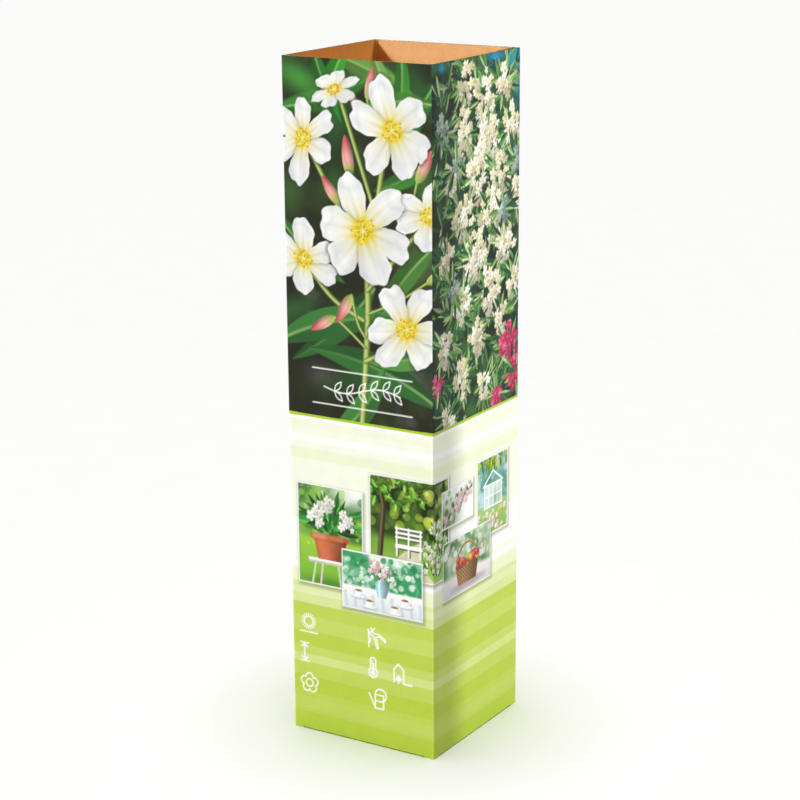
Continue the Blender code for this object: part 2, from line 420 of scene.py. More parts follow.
def bare_kraft_liner(tree):
    """Bare recycled kraft liner: matt brown paper with faint clouds, short fibres, dark and pale flecks."""
    base = np.array(bpy.context.scene.carton_board.kraft)
    # clouds of 7 mm where the pulp lies thicker, fibres of 0.35 mm and flecks of about 1 mm
    cloud, fibre, fleck = noise(tree, 0.007, 3), noise(tree, 0.00035, 2, 1.8), noise(tree, 0.0011, 1, 1.8)
    colour = ramp(tree, cloud, (0.3, base * (0.95, 0.94, 0.92)), (0.7, base * (1.03, 1.04, 1.06)))
    colour = blended(tree, 1.0, colour, ranged(tree, fibre, 0.25, 0.75, 0.90, 1.08), "MULTIPLY")
    colour = blended(tree, ranged(tree, fleck, 0.36, 0.29, 0.0, 0.35), colour, opaque(base * 0.4))
    colour = blended(tree, ranged(tree, fleck, 0.64, 0.72, 0.0, 0.4), colour, opaque(base * 1.4))
    # the corners' linings carry a painted highlight on their bead in their own attribute, which pales the kraft
    # there; it is 0 on all other pieces
    bead_highlight = add(tree, "ShaderNodeAttribute", attribute_name="ink").outputs["Fac"]
    return {
        "Base Color": blended(tree, bead_highlight, colour, opaque(base * 0.5 + 0.5)),
        "Roughness": 0.88,
        "Specular IOR Level": 0.2,
        "Normal": bumped(tree, fibre, 0.25, 0.00005),
    }


def fluted_recycled_medium(tree):
    """Fluted recycled medium: rough grey brown paper, mottled by fibres of 0.6 mm."""
    base = np.array(bpy.context.scene.carton_board.fluting)
    fibre = noise(tree, 0.0006, 3)
    return {
        "Base Color": ramp(tree, fibre, (0.3, base * 0.75), (0.7, base * 1.2)),
        "Roughness": 0.92,
        "Specular IOR Level": 0.2,
        "Normal": bumped(tree, fibre, 0.3, 0.00005),
    }


def matt_painted_floor(tree):
    """Matt painted floor: pale, with a faint mottle of 40 mm."""
    base = np.array(bpy.context.scene.carton_stage.floor)
    colour = ramp(tree, noise(tree, 0.04, 2), (0, base * 0.985), (1, base * 1.01))
    return {"Base Color": colour, "Roughness": 0.9, "Specular IOR Level": 0.1}


# ---------------------------------------------------------------- the painted print

WHITE = "#FFFFFF"
PICTURES = 213  # the large pictures end above this depth, mm


class Print:
    """A patch of print: columns across and rows down, in mm, and a display colour at each crossing."""

    def __init__(self, across, down):
        self.across, self.down = np.asarray(across), np.asarray(down)
        self.X, self.Y = self.across[None, :], self.down[:, None]
        self.ink = np.ones((len(down), len(across), 3))

    def window(self, left, right, top, bottom):
        """The part of the patch inside this box, with its coordinates, or None where there is none."""
        a, b = np.searchsorted(self.across, (left, right))
        c, d = np.searchsorted(self.down, (top, bottom))
        return None if a >= b or c >= d else ((slice(c, d), slice(a, b)), self.X[:, a:b], self.Y[c:d])

    def around(self, x, y, reach):
        """The part of the patch within this reach of a point."""
        return self.window(x - reach, x + reach, y - reach, y + reach)

    def lay(self, where, colour, cover=1.0):
        """Lay a colour, or an array of colours, over the ink there with this cover from 0 to 1."""
        self.ink[where] = mix(self.ink[where], np.clip(display(colour), 0, 1), cover)


def mix(low, high, share):
    """Colours on the way from one to another, by a share at each point."""
    return low + (high - low) * np.asarray(share)[..., None]


def turned(X, Y, x, y, angle):
    """Coordinates along a direction and across it, from a point."""
    c, s = math.cos(angle), math.sin(angle)
    return (X - x) * c + (Y - y) * s, (Y - y) * c - (X - x) * s


def clouds(X, Y, size, seed, octaves=3):
    """Value noise from 0 to 1: random heights on a lattice of this size in mm, joined smoothly, in octaves."""
    total, weight = 0.0, 0.0
    for octave in range(octaves):
        lattice = np.random.default_rng(seed + 101 * octave).random((64, 64))
        x, y = X * 2**octave / size + 640, Y * 2**octave / size + 640
        i, j = np.floor(x).astype(int), np.floor(y).astype(int)
        fx, fy = smooth(x - i, 0, 1), smooth(y - j, 0, 1)
        low, high = (
            lattice[(j + k) % 64, i % 64] * (1 - fx) + lattice[(j + k) % 64, (i + 1) % 64] * fx for k in (0, 1)
        )
        total = total + (low * (1 - fy) + high * fy) * 0.5**octave
        weight += 0.5**octave
    return total / weight


def within(value, low, high, edge):
    """1 between two limits and 0 outside them, with edges this soft."""
    return smooth(value, low - edge / 2, low + edge / 2) * (1 - smooth(value, high - edge / 2, high + edge / 2))


def blot(sheet, x, y, wide, high, colour, cover=1.0, turn=0.0):
    """A blurred spot: cover times exp(-(a/wide)^2 - (b/high)^2)."""
    if part := sheet.around(x, y, 2.4 * max(wide, high)):
        where, X, Y = part
        a, b = turned(X, Y, x, y, turn)
        sheet.lay(where, colour, cover * np.exp(-((a / wide) ** 2) - (b / high) ** 2))


def disc(sheet, x, y, wide, high, colour, edge=0.6, cover=1.0, turn=0.0):
    """An ellipse with an edge this soft."""
    if part := sheet.around(x, y, max(wide, high) + edge):
        where, X, Y = part
        a, b = turned(X, Y, x, y, turn)
        away = (np.hypot(a / wide, b / high) - 1) * min(wide, high)
        sheet.lay(where, colour, cover * (1 - smooth(away, -edge / 2, edge / 2)))


def box(sheet, left, right, top, bottom, colour, edge=0.5, cover=1.0, lower=None):
    """A rectangle with edges this soft, whose colour passes evenly to the lower one where that is given."""
    if part := sheet.window(left - edge, right + edge, top - edge, bottom + edge):
        where, X, Y = part
        if lower:
            colour = mix(display(colour), display(lower), np.clip((Y - top) / (bottom - top), 0, 1))
        sheet.lay(where, colour, cover * within(X, left, right, edge) * within(Y, top, bottom, edge))


def stroke(sheet, points, width, colour, edge=0.5, cover=1.0):
    """A line of this width through the points, with round ends: the nearest distance to its pieces decides."""
    points = np.asarray(points, float)
    low, high = points.min(0) - width - edge, points.max(0) + width + edge
    if part := sheet.window(low[0], high[0], low[1], high[1]):
        where, X, Y = part
        near = np.full(np.broadcast(X, Y).shape, 1e9)
        for (x0, y0), (x1, y1) in zip(points[:-1], points[1:]):
            dx, dy = x1 - x0, y1 - y0
            t = np.clip(((X - x0) * dx + (Y - y0) * dy) / (dx * dx + dy * dy + 1e-9), 0, 1)
            near = np.minimum(near, np.hypot(X - x0 - t * dx, Y - y0 - t * dy))
        sheet.lay(where, colour, cover * (1 - smooth(near, (width - edge) / 2, (width + edge) / 2)))


def curved(points, steps=6):
    """A smooth line through points: the cubic between each two of them, from its two neighbours too."""
    p = np.array(points, float)
    p = np.concatenate([2 * p[:1] - p[1:2], p, 2 * p[-1:] - p[-2:-1]])
    t = np.linspace(0, 1, steps, endpoint=False)[:, None]
    a, b, c, d = p[:-3, None], p[1:-2, None], p[2:-1, None], p[3:, None]
    line = b + 0.5 * t * (c - a + t * (2 * a - 5 * b + 4 * c - d + t * (3 * b - a - 3 * c + d)))
    return np.concatenate([line.reshape(-1, 2), p[-2:-1]])


def leaf(sheet, x, y, angle, long, wide, colour, rib=None, edge=0.6, bend=0.0, cover=1.0):
    """A lance leaf, darker on one side of its rib.

    Half its width at the share t of its length is wide/2 sin(pi t^0.85)^0.85.
    """
    ex, ey = x + long * math.cos(angle), y + long * math.sin(angle)
    room = wide + abs(bend) * long + edge
    if part := sheet.window(min(x, ex) - room, max(x, ex) + room, min(y, ey) - room, max(y, ey) + room):
        where, X, Y = part
        a, b = turned(X, Y, x, y, angle)
        t = np.clip(a / long, 0, 1)
        b = b - bend * long * 4 * t * (1 - t)
        half = wide / 2 * np.sin(np.pi * t**0.85) ** 0.85
        side = np.clip(b / (half + 0.05), -1, 1)
        tone = display(colour) * (1 - 0.22 * smooth(side, -0.05, 0.15) + 0.10 * (t - 0.5))[..., None]
        if rib is not None:
            tone = mix(tone, display(rib), 0.75 * np.exp(-((b / (0.05 * wide + 0.12)) ** 2)) * (1 - t))
        inside = smooth(half - np.abs(b), -edge / 2, edge / 2) * ((a > 0) & (a < long))
        sheet.lay(where, tone, cover * inside)


def evened(depth, X, Y):
    """How deep a point lies inside an outline: the depth divided by its slope where that is steeper than 1."""
    if min(depth.shape) < 2:
        return depth
    return depth / np.maximum(np.hypot(*np.gradient(depth, Y.ravel(), X.ravel())), 1)


def petal_outline(a, b, k, long, wide, hook, seed):
    """The petal's share of length, its bent distance across, half its width there, and the depth inside it.

    Half the width at the share t of the length is wide t^0.58 sqrt(1 - t^5), fuller on one side, and the length
    swings with the place across the petal, which ruffles its end.
    """
    b = b - hook * a * np.abs(a) / long
    u = b / wide
    swing = 0.045 * np.sin(3.7 * u + seed + 2 * k) + 0.022 * np.sin(9.3 * u + 3 * k) - 0.05 * u
    reach = long * (1 + swing)
    t = np.clip(a / reach, 0, 1)
    half = wide * t**0.58 * np.sqrt(np.clip(1 - t**5, 0, 1)) * (1 + 0.10 * t * np.sign(b))
    half = half * (1 + 0.04 * np.sin(9 * t + seed + k) + 0.025 * np.sin(23 * t + 2 * k))
    return t, b, half, np.minimum(half - np.abs(b), reach - a)


def blossom(sheet, x, y, radius, turn, squash, lean, seed, petals=6):
    """An open flower, squashed along the direction lean where it faces away."""
    look = bpy.context.scene.carton_print
    white, throat = encoded(look.petal), encoded(look.throat)
    cool, warm = display("#ABADB6"), display("#E4DFB8")
    rng = np.random.default_rng(seed)
    wild = rng.uniform((-0.12, 0.90, 0.88, -0.05), (0.12, 1.08, 1.08, 0.16), (petals, 4))
    part = sheet.around(x, y, 1.2 * radius)
    if not part:
        return
    where, X, Y = part
    along, across = turned(X, Y, x, y, lean)
    along = along / squash
    away = np.hypot(along, across) / radius
    cloud = clouds(X, Y, 0.55 * radius, seed) - 0.5
    for k in [*range(0, petals, 2), *range(1, petals, 2)]:
        sway, longer, wider, hook = wild[k]
        way = turn + 2 * math.pi * k / petals + sway
        a, b = turned(along, across, 0, 0, way)
        form = (k, radius * longer, 0.41 * radius * wider, hook, seed)
        # the petal's shadow on those under it, then the petal itself
        depth = petal_outline(a - 0.7, b - 1.0, *form)[3]
        under = smooth(evened(depth, X, Y), -1.8, 1.4) * smooth(a, 0, 3)
        sheet.lay(where, "#23281F", (0.26 if k % 2 else 0.45) * under)
        t, b, half, depth = petal_outline(a, b, *form)
        v = np.clip(b / (half + 0.05), -1, 1)
        facing = 0.5 + 0.5 * math.cos(lean + way - 0.9)  # away from the light at upper left
        dim = 0.02 + 0.16 * facing + 0.36 * smooth(v if k % 2 else -v, 0.25, 1.1) * (1 - 0.5 * t)
        dim = dim + 0.34 * np.exp(-(((v - 0.1 * hook) / 0.16) ** 2)) * (1 - t) ** 1.2 + 0.30 * (1 - t) ** 3
        dim = dim + 0.20 * np.exp(-(((t - 0.80 - 0.08 * np.sin(3 * v + k)) / 0.07) ** 2)) * (1 - 0.5 * facing)
        dim = dim + 0.10 * np.sin(5 * v + 2.5 * t + 2 * k) * smooth(t, 0.25, 0.7) + 0.35 * cloud
        vein = 0.06 * np.exp(-((np.sin(11 * v * (1 - 0.25 * t)) / 0.35) ** 2)) * smooth(t, 0.15, 0.5)
        tone = mix(white, cool, np.clip(0.85 * dim + vein, 0, 1))
        tone = mix(tone, warm, 0.75 * np.exp(-((away / 0.42) ** 2)))
        ray = 0.5 + 0.5 * np.cos(14 * v * (0.3 + t))
        glow = np.exp(-((away / 0.23) ** 4)) + 0.7 * ray * np.exp(-((t / 0.36) ** 2))
        tone = mix(tone, throat, np.clip(glow, 0, 1))
        tone = mix(tone, 1.0, 0.45 * smooth(half - np.abs(b), 0.9, 0.0) * smooth(t, 0.2, 0.5))
        sheet.lay(where, tone, smooth(evened(depth, X, Y), -0.3, 0.3) * (a > 0))
    disc(sheet, x, y, 0.11 * radius, 0.11 * radius * squash, "#A48E12", 2.0, 0.75, lean + math.pi / 2)
    c, s = math.cos(lean), math.sin(lean)
    for k in range(14):
        way = turn + 2 * math.pi * (k + 0.5) / 14 + rng.uniform(-0.2, 0.2)
        far = radius * rng.uniform(0.13, 0.27)
        a, b = far * math.cos(way) * squash, far * math.sin(way)
        tip = (x + a * c - b * s, y + a * s + b * c)
        stroke(sheet, [(x, y), tip], 0.55, "#F4E784", cover=0.85)
        disc(sheet, *tip, 0.6, 0.6, "#C58A1C", cover=0.85)


def bud(sheet, x, y, angle, long, wide, flush=1.0):
    """A furled bud: half its width is wide/2 (4t(1 - t))^0.55, from green at its foot to red at its tip."""
    if part := sheet.around(x, y, long * 1.2):
        where, X, Y = part
        a, b = turned(X, Y, x, y, angle)
        t = np.clip(a / long, 0, 1)
        half = wide / 2 * (4 * t * (1 - t)) ** 0.55 * (1.15 - 0.45 * t)
        v = np.clip(b / (half + 0.05), -1, 1)
        foot, middle, tip = display("#A7B65C"), display("#E3A79B"), display("#C4545C")
        tone = mix(mix(foot, middle, smooth(t, 0.1, 0.45)), tip, flush * smooth(t, 0.4, 1.0))
        twist = np.exp(-((np.sin(2.2 * v + 2.5 * t) / 0.25) ** 2))
        tone = tone * (1.06 - 0.30 * smooth(v, -0.2, 1.0) - 0.12 * twist)[..., None]
        sheet.lay(where, tone, smooth(half - np.abs(b), -0.3, 0.3) * ((a > 0) & (a < long)))


def flower_picture(sheet, variant):
    """The large picture of a wide side: white blossoms and buds over dark, blurred leaves."""
    look = bpy.context.scene.carton_print
    sheet.lay(..., encoded(look.shadow))
    sheet.lay(..., "#40562E", 0.5 * smooth(clouds(sheet.X, sheet.Y, 26, 11 + variant), 0.48, 0.85))
    sheet.lay(..., "#6D6166", 0.45 * smooth(clouds(sheet.X, sheet.Y, 17, 23 + variant), 0.60, 0.88))
    flip = -1 if variant else 1

    def at(x):
        return 50 + flip * (x - 50)

    def aim(angle):
        return math.radians(angle) if flip > 0 else math.pi - math.radians(angle)

    for x, y, wide, high, code, cover, turn in (
        (12, 12, 22, 9, "#47933A", 0.95, 25),
        (58, 6, 22, 7, "#4F8C3C", 0.6, -8),
        (90, 14, 13, 9, "#367536", 0.6, 50),
        (36, 34, 12, 20, "#357432", 0.6, 10),
        (94, 66, 8, 20, "#448338", 0.7, 5),
        (4, 78, 10, 16, "#416C32", 0.7, -10),
        (36, 70, 10, 9, "#397832", 0.6, 35),
        (90, 112, 12, 16, "#678644", 0.7, 15),
        (8, 146, 18, 8, "#376B34", 0.7, -20),
        (48, 146, 14, 10, "#49763A", 0.5, 0),
        (60, 182, 40, 8, "#315E2E", 0.7, -12),
        (90, 182, 14, 8, "#7F7379", 0.45, 20),
        (24, 184, 10, 7, "#736872", 0.4, 0),
    ):
        blot(sheet, at(x), y, wide, high, code, cover, flip * math.radians(turn))
    for x, y, angle, long, wide, code, edge, bend in (
        (-6, 30, -18, 74, 13, "#3F8B35", 3.0, 0.05),
        (30, -4, 22, 66, 13, "#69A046", 3.2, -0.04),
        (104, 8, 118, 60, 12, "#357733", 2.6, 0.05),
        (100, 52, 152, 44, 11, "#448537", 2.4, -0.05),
        (48, 58, 98, 62, 12, "#2B612D", 2.6, 0.05),
        (44, -6, 112, 40, 12, "#3FA032", 1.4, 0.06),
        (60, -8, 74, 42, 9, "#7BA95A", 1.6, -0.05),
        (22, -6, 66, 46, 10, "#2F7A2E", 1.3, 0.04),
        (80, -6, 96, 44, 10, "#3C8A34", 1.5, -0.06),
        (100, 22, 176, 46, 10, "#5DA143", 1.6, 0.05),
        (-4, 92, 38, 58, 13, "#377034", 2.0, 0.06),
        (102, 100, 128, 66, 13, "#4E8139", 1.8, 0.05),
        (62, 128, 140, 76, 15, "#30662F", 1.6, -0.05),
        (-8, 168, -14, 92, 18, "#3E7F3B", 0.9, -0.07),
        (104, 194, 196, 92, 18, "#356E33", 0.9, 0.07),
        (30, 222, -52, 62, 16, "#45863A", 0.9, 0.08),
        (104, 160, 168, 52, 13, "#5A9442", 1.0, -0.06),
    ):
        leaf(sheet, at(x), y, aim(angle), long, wide, code, "#B6D884", edge, bend * flip, 0.95)
    for wide, points in (
        (4.4, ((52, 214), (55, 176), (57, 140), (56, 100))),
        (3.4, ((56, 112), (63, 84), (70, 44))),
        (3.0, ((55, 108), (38, 84), (20, 54))),
        (3.0, ((57, 130), (76, 110), (94, 90))),
        (3.0, ((54, 148), (34, 138), (16, 120))),
        (3.2, ((55, 172), (70, 164), (82, 154))),
        (2.6, ((62, 84), (50, 50), (40, 22))),
        (1.8, ((55, 158), (50, 150), (46, 134))),
        (1.8, ((55, 164), (45, 156), (34, 148))),
        (1.6, ((57, 96), (52, 82), (46, 66))),
        (1.6, ((57, 108), (48, 98), (38, 82))),
        (1.6, ((76, 110), (84, 90), (90, 66))),
        (1.6, ((57, 144), (78, 134), (96, 122))),
        (1.6, ((69, 50), (62, 38), (58, 22))),
    ):
        line = curved([(at(px), py) for px, py in points])
        fine = min(wide / 3, 1)
        for shift, share, code, edge in (
            (0.0, 1.0, "#54692F", 1.4),
            (0.4, 0.66, "#A3B65A", 1.4),
            (0.7, 0.2, "#CBD88A", 0.8),
        ):
            stroke(sheet, line - (shift * fine, 0), wide * share, code, edge * fine)
    for x, y, angle, long, wide, flush in (
        (46, 66, -98, 24, 8.0, 1.0),
        (38, 82, -126, 19, 7.0, 0.9),
        (90, 66, -62, 22, 7.5, 1.0),
        (34, 148, 150, 19, 7.0, 1.0),
        (96, 122, -30, 17, 6.5, 0.7),
        (46, 134, 122, 20, 7.5, 0.9),
        (58, 22, -78, 19, 6.5, 0.8),
        (52, 30, -112, 14, 5.5, 0.4),
    ):
        bud(sheet, at(x), y, aim(angle), long, wide, flush)
    for seed, x, y, radius, turn, squash, lean in (
        (31, 36, 17, 18, 20, 0.58, 70),
        (32, 14, 46, 25, 8, 0.82, 20),
        (33, 98, 84, 24, 15, 0.80, 80),
        (34, 74, 38, 29, -12, 0.90, 140),
        (35, 13, 116, 25, 30, 0.84, 120),
        (36, 83, 150, 29, 5, 0.88, 50),
        (37, 54, 96, 33, -20, 0.96, 30),
    ):
        blossom(sheet, at(x), y, radius, math.radians(turn), squash, aim(lean), seed)
    ornament(sheet, 52, 190.5)


def ornament(sheet, x, y):
    """A white line-drawn sprig between two thin rules."""
    t = np.linspace(0, 1, 25)
    stem = np.stack([x - 26 + 52 * t, y + 2.6 * np.sin(2 * np.pi * t)], -1)
    stroke(sheet, stem, 0.8, WHITE)
    for share in (0.14, 0.30, 0.46, 0.62, 0.78, 0.92):
        px, py = x - 26 + 52 * share, y + 2.6 * math.sin(2 * math.pi * share)
        for angle in (-52, 46):
            c, s = math.cos(math.radians(angle)), math.sin(math.radians(angle))
            for side in (-1, 1):
                bow = side * 1.5 * np.sin(np.pi * t)
                line = np.stack([px + 7.5 * t * c - bow * s, py + 7.5 * t * s + bow * c], -1)
                stroke(sheet, line[::3], 0.7, WHITE)
    for height in (-10.5, 10.5):
        stroke(sheet, [(x - 34, y + height), (x + 34, y + height)], 0.7, WHITE)


def floret(sheet, x, y, radius, turn, tone, squash=1.0, lean=0.0):
    """A small flower, shaded away from the light. Its rim is radius (0.55 + 0.45 |cos 2.5 angle|^0.8)."""
    if part := sheet.around(x, y, radius + 1.2):
        where, X, Y = part
        a, b = turned(X, Y, x + 0.4, y + 0.5, lean)
        shadow = 1 - smooth(np.hypot(a / squash, b), radius * 0.6, radius * 1.15)
        sheet.lay(where, "#5A5C42", 0.42 * shadow)
        a, b = turned(X, Y, x, y, lean)
        a = a / squash
        away, angle = np.hypot(a, b), np.arctan2(b, a) - turn
        lobes = np.abs(np.cos(2.5 * angle))
        rim = radius * (0.55 + 0.45 * lobes**0.8)
        shade = 1.02 - 0.15 * (1 - lobes) - 0.12 * smooth((X - x + Y - y) / radius, -0.2, 1.3)
        sheet.lay(where, display(tone) * shade[..., None], 1 - smooth(away - rim, -0.45, 0.45))
        sheet.lay(where, "#D9C66A", 0.7 * np.exp(-((away / (0.16 * radius + 0.15)) ** 2)))


def drawn(rng, codes, low=1.0, high=1.0):
    """One of these colours at random, and where two limits are given, brighter or darker by chance."""
    tone = display(codes[rng.integers(0, len(codes))])
    return tone if low == high else tone * rng.uniform(low, high)


def hedge_picture(sheet, variant):
    """The large picture of a narrow side: clusters of cream florets on a sunlit hedge, with sky above."""
    look = bpy.context.scene.carton_print
    rng = np.random.default_rng(look.seed + variant)
    sheet.lay(..., "#1C2A1A")
    sheet.lay(..., "#3F6B33", 0.85 * smooth(clouds(sheet.X, sheet.Y, 14, 41 + variant), 0.38, 0.72))
    sheet.lay(..., "#121A12", 0.6 * smooth(clouds(sheet.X, sheet.Y, 7, 43 + variant), 0.58, 0.8))
    flip = -1 if variant else 1
    sky = encoded(look.sky)
    creams = ("#FBF5E0", "#F2EACB", "#FFFCF0", "#E4DAB6", "#EFE6D0", "#CBC6A4")
    kinds = (creams, (encoded(look.accent), "#E85C92", "#B8265A"), ("#8FA69A", "#AEBDB0", "#75908A"))
    greens = ("#2A5535", "#3F763E", "#5B954C", "#86AA62", "#1F4330", "#A6C184")

    def at(x):
        return 50 + flip * (x - 50)

    def sprig(x, y, angle, count, long):
        for _ in range(count):
            tone = drawn(rng, greens, 0.8, 1.15)
            way = angle + rng.uniform(-0.9, 0.9)
            far = rng.uniform(0, 4)
            px, py = x + far * math.cos(way), y + far * math.sin(way)
            leaf(sheet, px, py, way, rng.uniform(0.7, 1.1) * long, rng.uniform(1.7, 3.0), tone, tone * 1.3, 0.5)

    for x, y, wide, high in ((94, 4, 18, 9), (100, 20, 6, 12), (70, 2, 8, 4), (10, 3, 4, 3), (8, 62, 2, 4)):
        blot(sheet, at(x), y, wide, high, sky, 0.85)
    for _ in range(110):
        sprig(*rng.uniform((-4, -4), (104, 218)), rng.uniform(0, 2 * math.pi), 5, 15)
    for _ in range(46):
        x, y = rng.uniform(0, 100), 60 * rng.uniform(0, 1) ** 1.5
        blot(sheet, x, y, *rng.uniform(0.4, 1.1, 2), sky, rng.uniform(0.5, 0.9))
    for _ in range(70):
        tone = drawn(rng, creams, 0.55, 0.95)
        x, y = rng.uniform((12, 4), (100, 212))
        floret(sheet, at(x), y, rng.uniform(1.4, 2.6), rng.uniform(0, 6.3), tone, rng.uniform(0.5, 1.0), x)
    for x, y, spread, kind in CLUSTERS:
        x, spread = at(x), 1.1 * spread
        for _ in range(5):
            angle = rng.uniform(0, 2 * math.pi)
            far = spread * rng.uniform(0.3, 0.8)
            sprig(x + far * math.cos(angle), y + far * math.sin(angle), angle, 4, 13)
        for _ in range(int(spread**2 * 0.21)):
            far, angle = spread * rng.uniform(0, 1) ** 0.6, rng.uniform(0, 2 * math.pi)
            px, py = x + 0.82 * far * math.cos(angle), y + 1.12 * far * math.sin(angle)
            lit = 1.02 - 0.28 * smooth(py - y, -0.2 * spread, 1.1 * spread) * rng.uniform(0.2, 1.0)
            tone = drawn(rng, kinds[kind]) * lit
            radius, turn, squash, lean = rng.uniform((2.6, 0, 0.6, 0), (4.3, 6.3, 1.0, 3.1))
            floret(sheet, px, py, radius, turn, tone, squash, lean)
        for _ in range(4):
            angle = rng.uniform(0, 2 * math.pi)
            tone = drawn(rng, greens[2:], 0.9, 1.2)
            px, py = x + 0.5 * spread * math.cos(angle), y + 0.5 * spread * math.sin(angle)
            leaf(sheet, px, py, angle, rng.uniform(8, 14), rng.uniform(1.6, 2.6), tone, tone * 1.3, 0.5)


CLUSTERS = (  # place in mm, spread, and kind: 0 cream, 1 magenta, 2 shaded
    (38, 14, 10, 0), (58, 24, 13, 0), (80, 20, 9, 0), (34, 42, 11, 0), (64, 48, 13, 0), (90, 44, 10, 0),
    (50, 68, 13, 0), (78, 70, 12, 0), (20, 66, 8, 0), (96, 84, 9, 0), (34, 90, 11, 0), (66, 92, 14, 0),
    (16, 112, 9, 0), (48, 116, 13, 0), (84, 112, 12, 0), (32, 140, 10, 0), (66, 138, 13, 0), (94, 138, 8, 0),
    (50, 162, 10, 0), (80, 158, 9, 0), (14, 162, 8, 0), (32, 184, 9, 0), (58, 192, 7, 0), (16, 204, 7, 0),
    (88, 176, 11, 1), (96, 194, 9, 1), (74, 202, 7, 1), (6, 182, 6, 1),
    (10, 38, 7, 2), (96, 66, 6, 2), (26, 60, 5, 2), (80, 92, 6, 2), (22, 128, 6, 2),
)  # fmt: skip

BANDS = (  # depth in mm from the top edge, share of lime from there on
    (210.6, 0.0), (212.3, 0.17), (217.2, 0.13), (222.0, 0.02), (225.6, 0.13), (230.2, 0.235), (236.6, 0.135),
    (274.2, 0.0), (288.4, 0.05), (299.4, 0.16), (302.2, 0.0), (305.2, 0.19), (306.8, 0.27), (314.4, 0.49),
    (317.2, 0.39), (321.8, 0.52), (327.8, 0.91), (336.0, 0.81), (345.5, 0.96), (355.0, 0.81),
    (360.5, 0.62), (366.0, 0.87), (375.0, 1.0), (385.0, 0.90), (389.0, 0.84), (396.0, 0.89), (398.5, 1.0),
)  # fmt: skip


def bands(sheet):
    """White to lime bands below the picture, each with an edge 0.6 mm soft, and the lime line above them."""
    look = bpy.context.scene.carton_print
    white, lime = encoded(look.white), encoded(look.lime)
    share = np.zeros(len(sheet.down))
    before = 0.0
    for depth, tint in BANDS:
        share += (tint - before) * smooth(sheet.down, depth - 0.3, depth + 0.3)
        before = tint
    middle, half = look.picture / MM, look.line / MM / 2
    colour = mix(white, lime, np.clip(share, 0, 1))
    colour = mix(colour, lime * (0.93, 0.97, 0.6), within(sheet.down, middle - half, middle + half, 0.4))
    below = sheet.down > middle - half
    sheet.ink[below] = colour[below][:, None, :]


def garden(picture, size, near, far, seed, light=0.5):
    """A blurred garden: pale leaves above, darker ones below, in soft spots."""
    (wide, high), X, Y = size, picture.X, picture.Y
    picture.lay(..., mix(display(near), display(far), smooth(clouds(X, Y, wide * 0.24, seed), 0.3, 0.75)))
    spots = smooth(clouds(X, Y, wide * 0.13, seed + 5), 0.62, 0.85)
    picture.lay(..., "#FBFDEB", light * spots * (1 - Y / high * 0.7))


def glints(picture, size, codes, count, seed, low=0.62, large=0.05):
    """Round, soft spots of light between the leaves, from the top down to this share of the height."""
    rng = np.random.default_rng(seed)
    for _ in range(count):
        radius = size[0] * large * rng.uniform(0.4, 1.3)
        tone, cover = drawn(rng, codes), rng.uniform(0.25, 0.8)
        disc(picture, *size * rng.uniform((0, 0), (1, low)), radius, radius, tone, 0.8, cover)


def ground(picture, size, top, upper, lower, edge):
    """Lawn or cloth from this share of the height down."""
    box(picture, -1, size[0] + 1, size[1] * top, size[1] * 1.1, upper, edge, 1.0, lower)


def pot_scene(picture, size):
    """A terracotta pot with white blooms on a garden stool."""
    wide, high = size
    garden(picture, size, "#35692C", "#7DAE48", 61, 0.5)
    blot(picture, *size * (0.9, 0.02), *size * (0.42, 0.16), WHITE, 0.95)
    ground(picture, size, 0.52, "#A2CF45", "#6FAE33", 6.0)
    glints(picture, size, ("#9CCB54", "#C8E27E", "#3E7A2E"), 40, 65)
    blot(picture, *size * (0.5, 0.99), *size * (0.42, 0.07), "#3E7426", 0.7)
    for x, lean in ((0.24, 0.03), (0.76, -0.03), (0.36, 0.02), (0.64, -0.02)):
        stroke(picture, size * [(x - lean, 0.99), (x + lean, 0.76)], 1.3, "#D5D5CE")
    for bottom, code in ((0.785, "#C9C6BA"), (0.765, "#F7F5EE")):
        box(picture, wide * 0.15, wide * 0.85, high * 0.735, high * bottom, code, 0.5)
    if part := picture.window(0, wide, high * 0.5, high * 0.74):
        where, X, Y = part
        t = (Y - high * 0.50) / (high * 0.235)
        half = wide * (0.27 - 0.075 * t)
        v = (X - wide * 0.5) / half
        light = 1.10 - 0.50 * smooth(v, -0.5, 1.1) - 0.12 * smooth(-v, 0.7, 1.0) - 0.22 * smooth(t, 0.26, 0.12)
        tone = display("#C56A45") * (light + 0.14 * (clouds(X, Y, 3.0, 64) - 0.5))[..., None]
        picture.lay(where, tone, smooth(half - np.abs(X - wide * 0.5), -0.3, 0.3) * (t >= 0))
    for left, right, code in ((0.20, 0.80, "#B05A38"), (0.20, 0.70, "#C8714B"), (0.22, 0.42, "#DC8D66")):
        box(picture, wide * left, wide * right, high * 0.485, high * 0.535, code, 2.0)
    rng = np.random.default_rng(63)
    for k in range(54):  # the draw in the middle isn't used: it keeps the order of those after it
        angle, _, shade = rng.uniform((-math.pi - 0.25, 0.1, 0.5), (0.25, 0.9, 1.55))
        tone, long = display("#3C8436") * shade, wide * rng.uniform(0.22, 0.5)
        px, py = size * (0.5 + 0.12 * math.cos(angle), 0.47 - 0.003 * k)
        leaf(picture, px, py, angle, long, wide * 0.075, tone, tone * 1.3, 0.5)
    for _ in range(30):
        angle, far = rng.uniform(-math.pi, 0), rng.uniform(0.2, 1.0) ** 0.6
        px, py = size * (0.5 + 0.36 * far * math.cos(angle), 0.40 + 0.27 * far * math.sin(angle))
        tone = drawn(rng, (WHITE, "#F3F1E6", "#DDE2DC"))
        radius, turn, squash = rng.uniform((0.05, 0, 0.6), (0.085, 6, 1.0))
        floret(picture, px, py, wide * radius, turn, tone, squash)


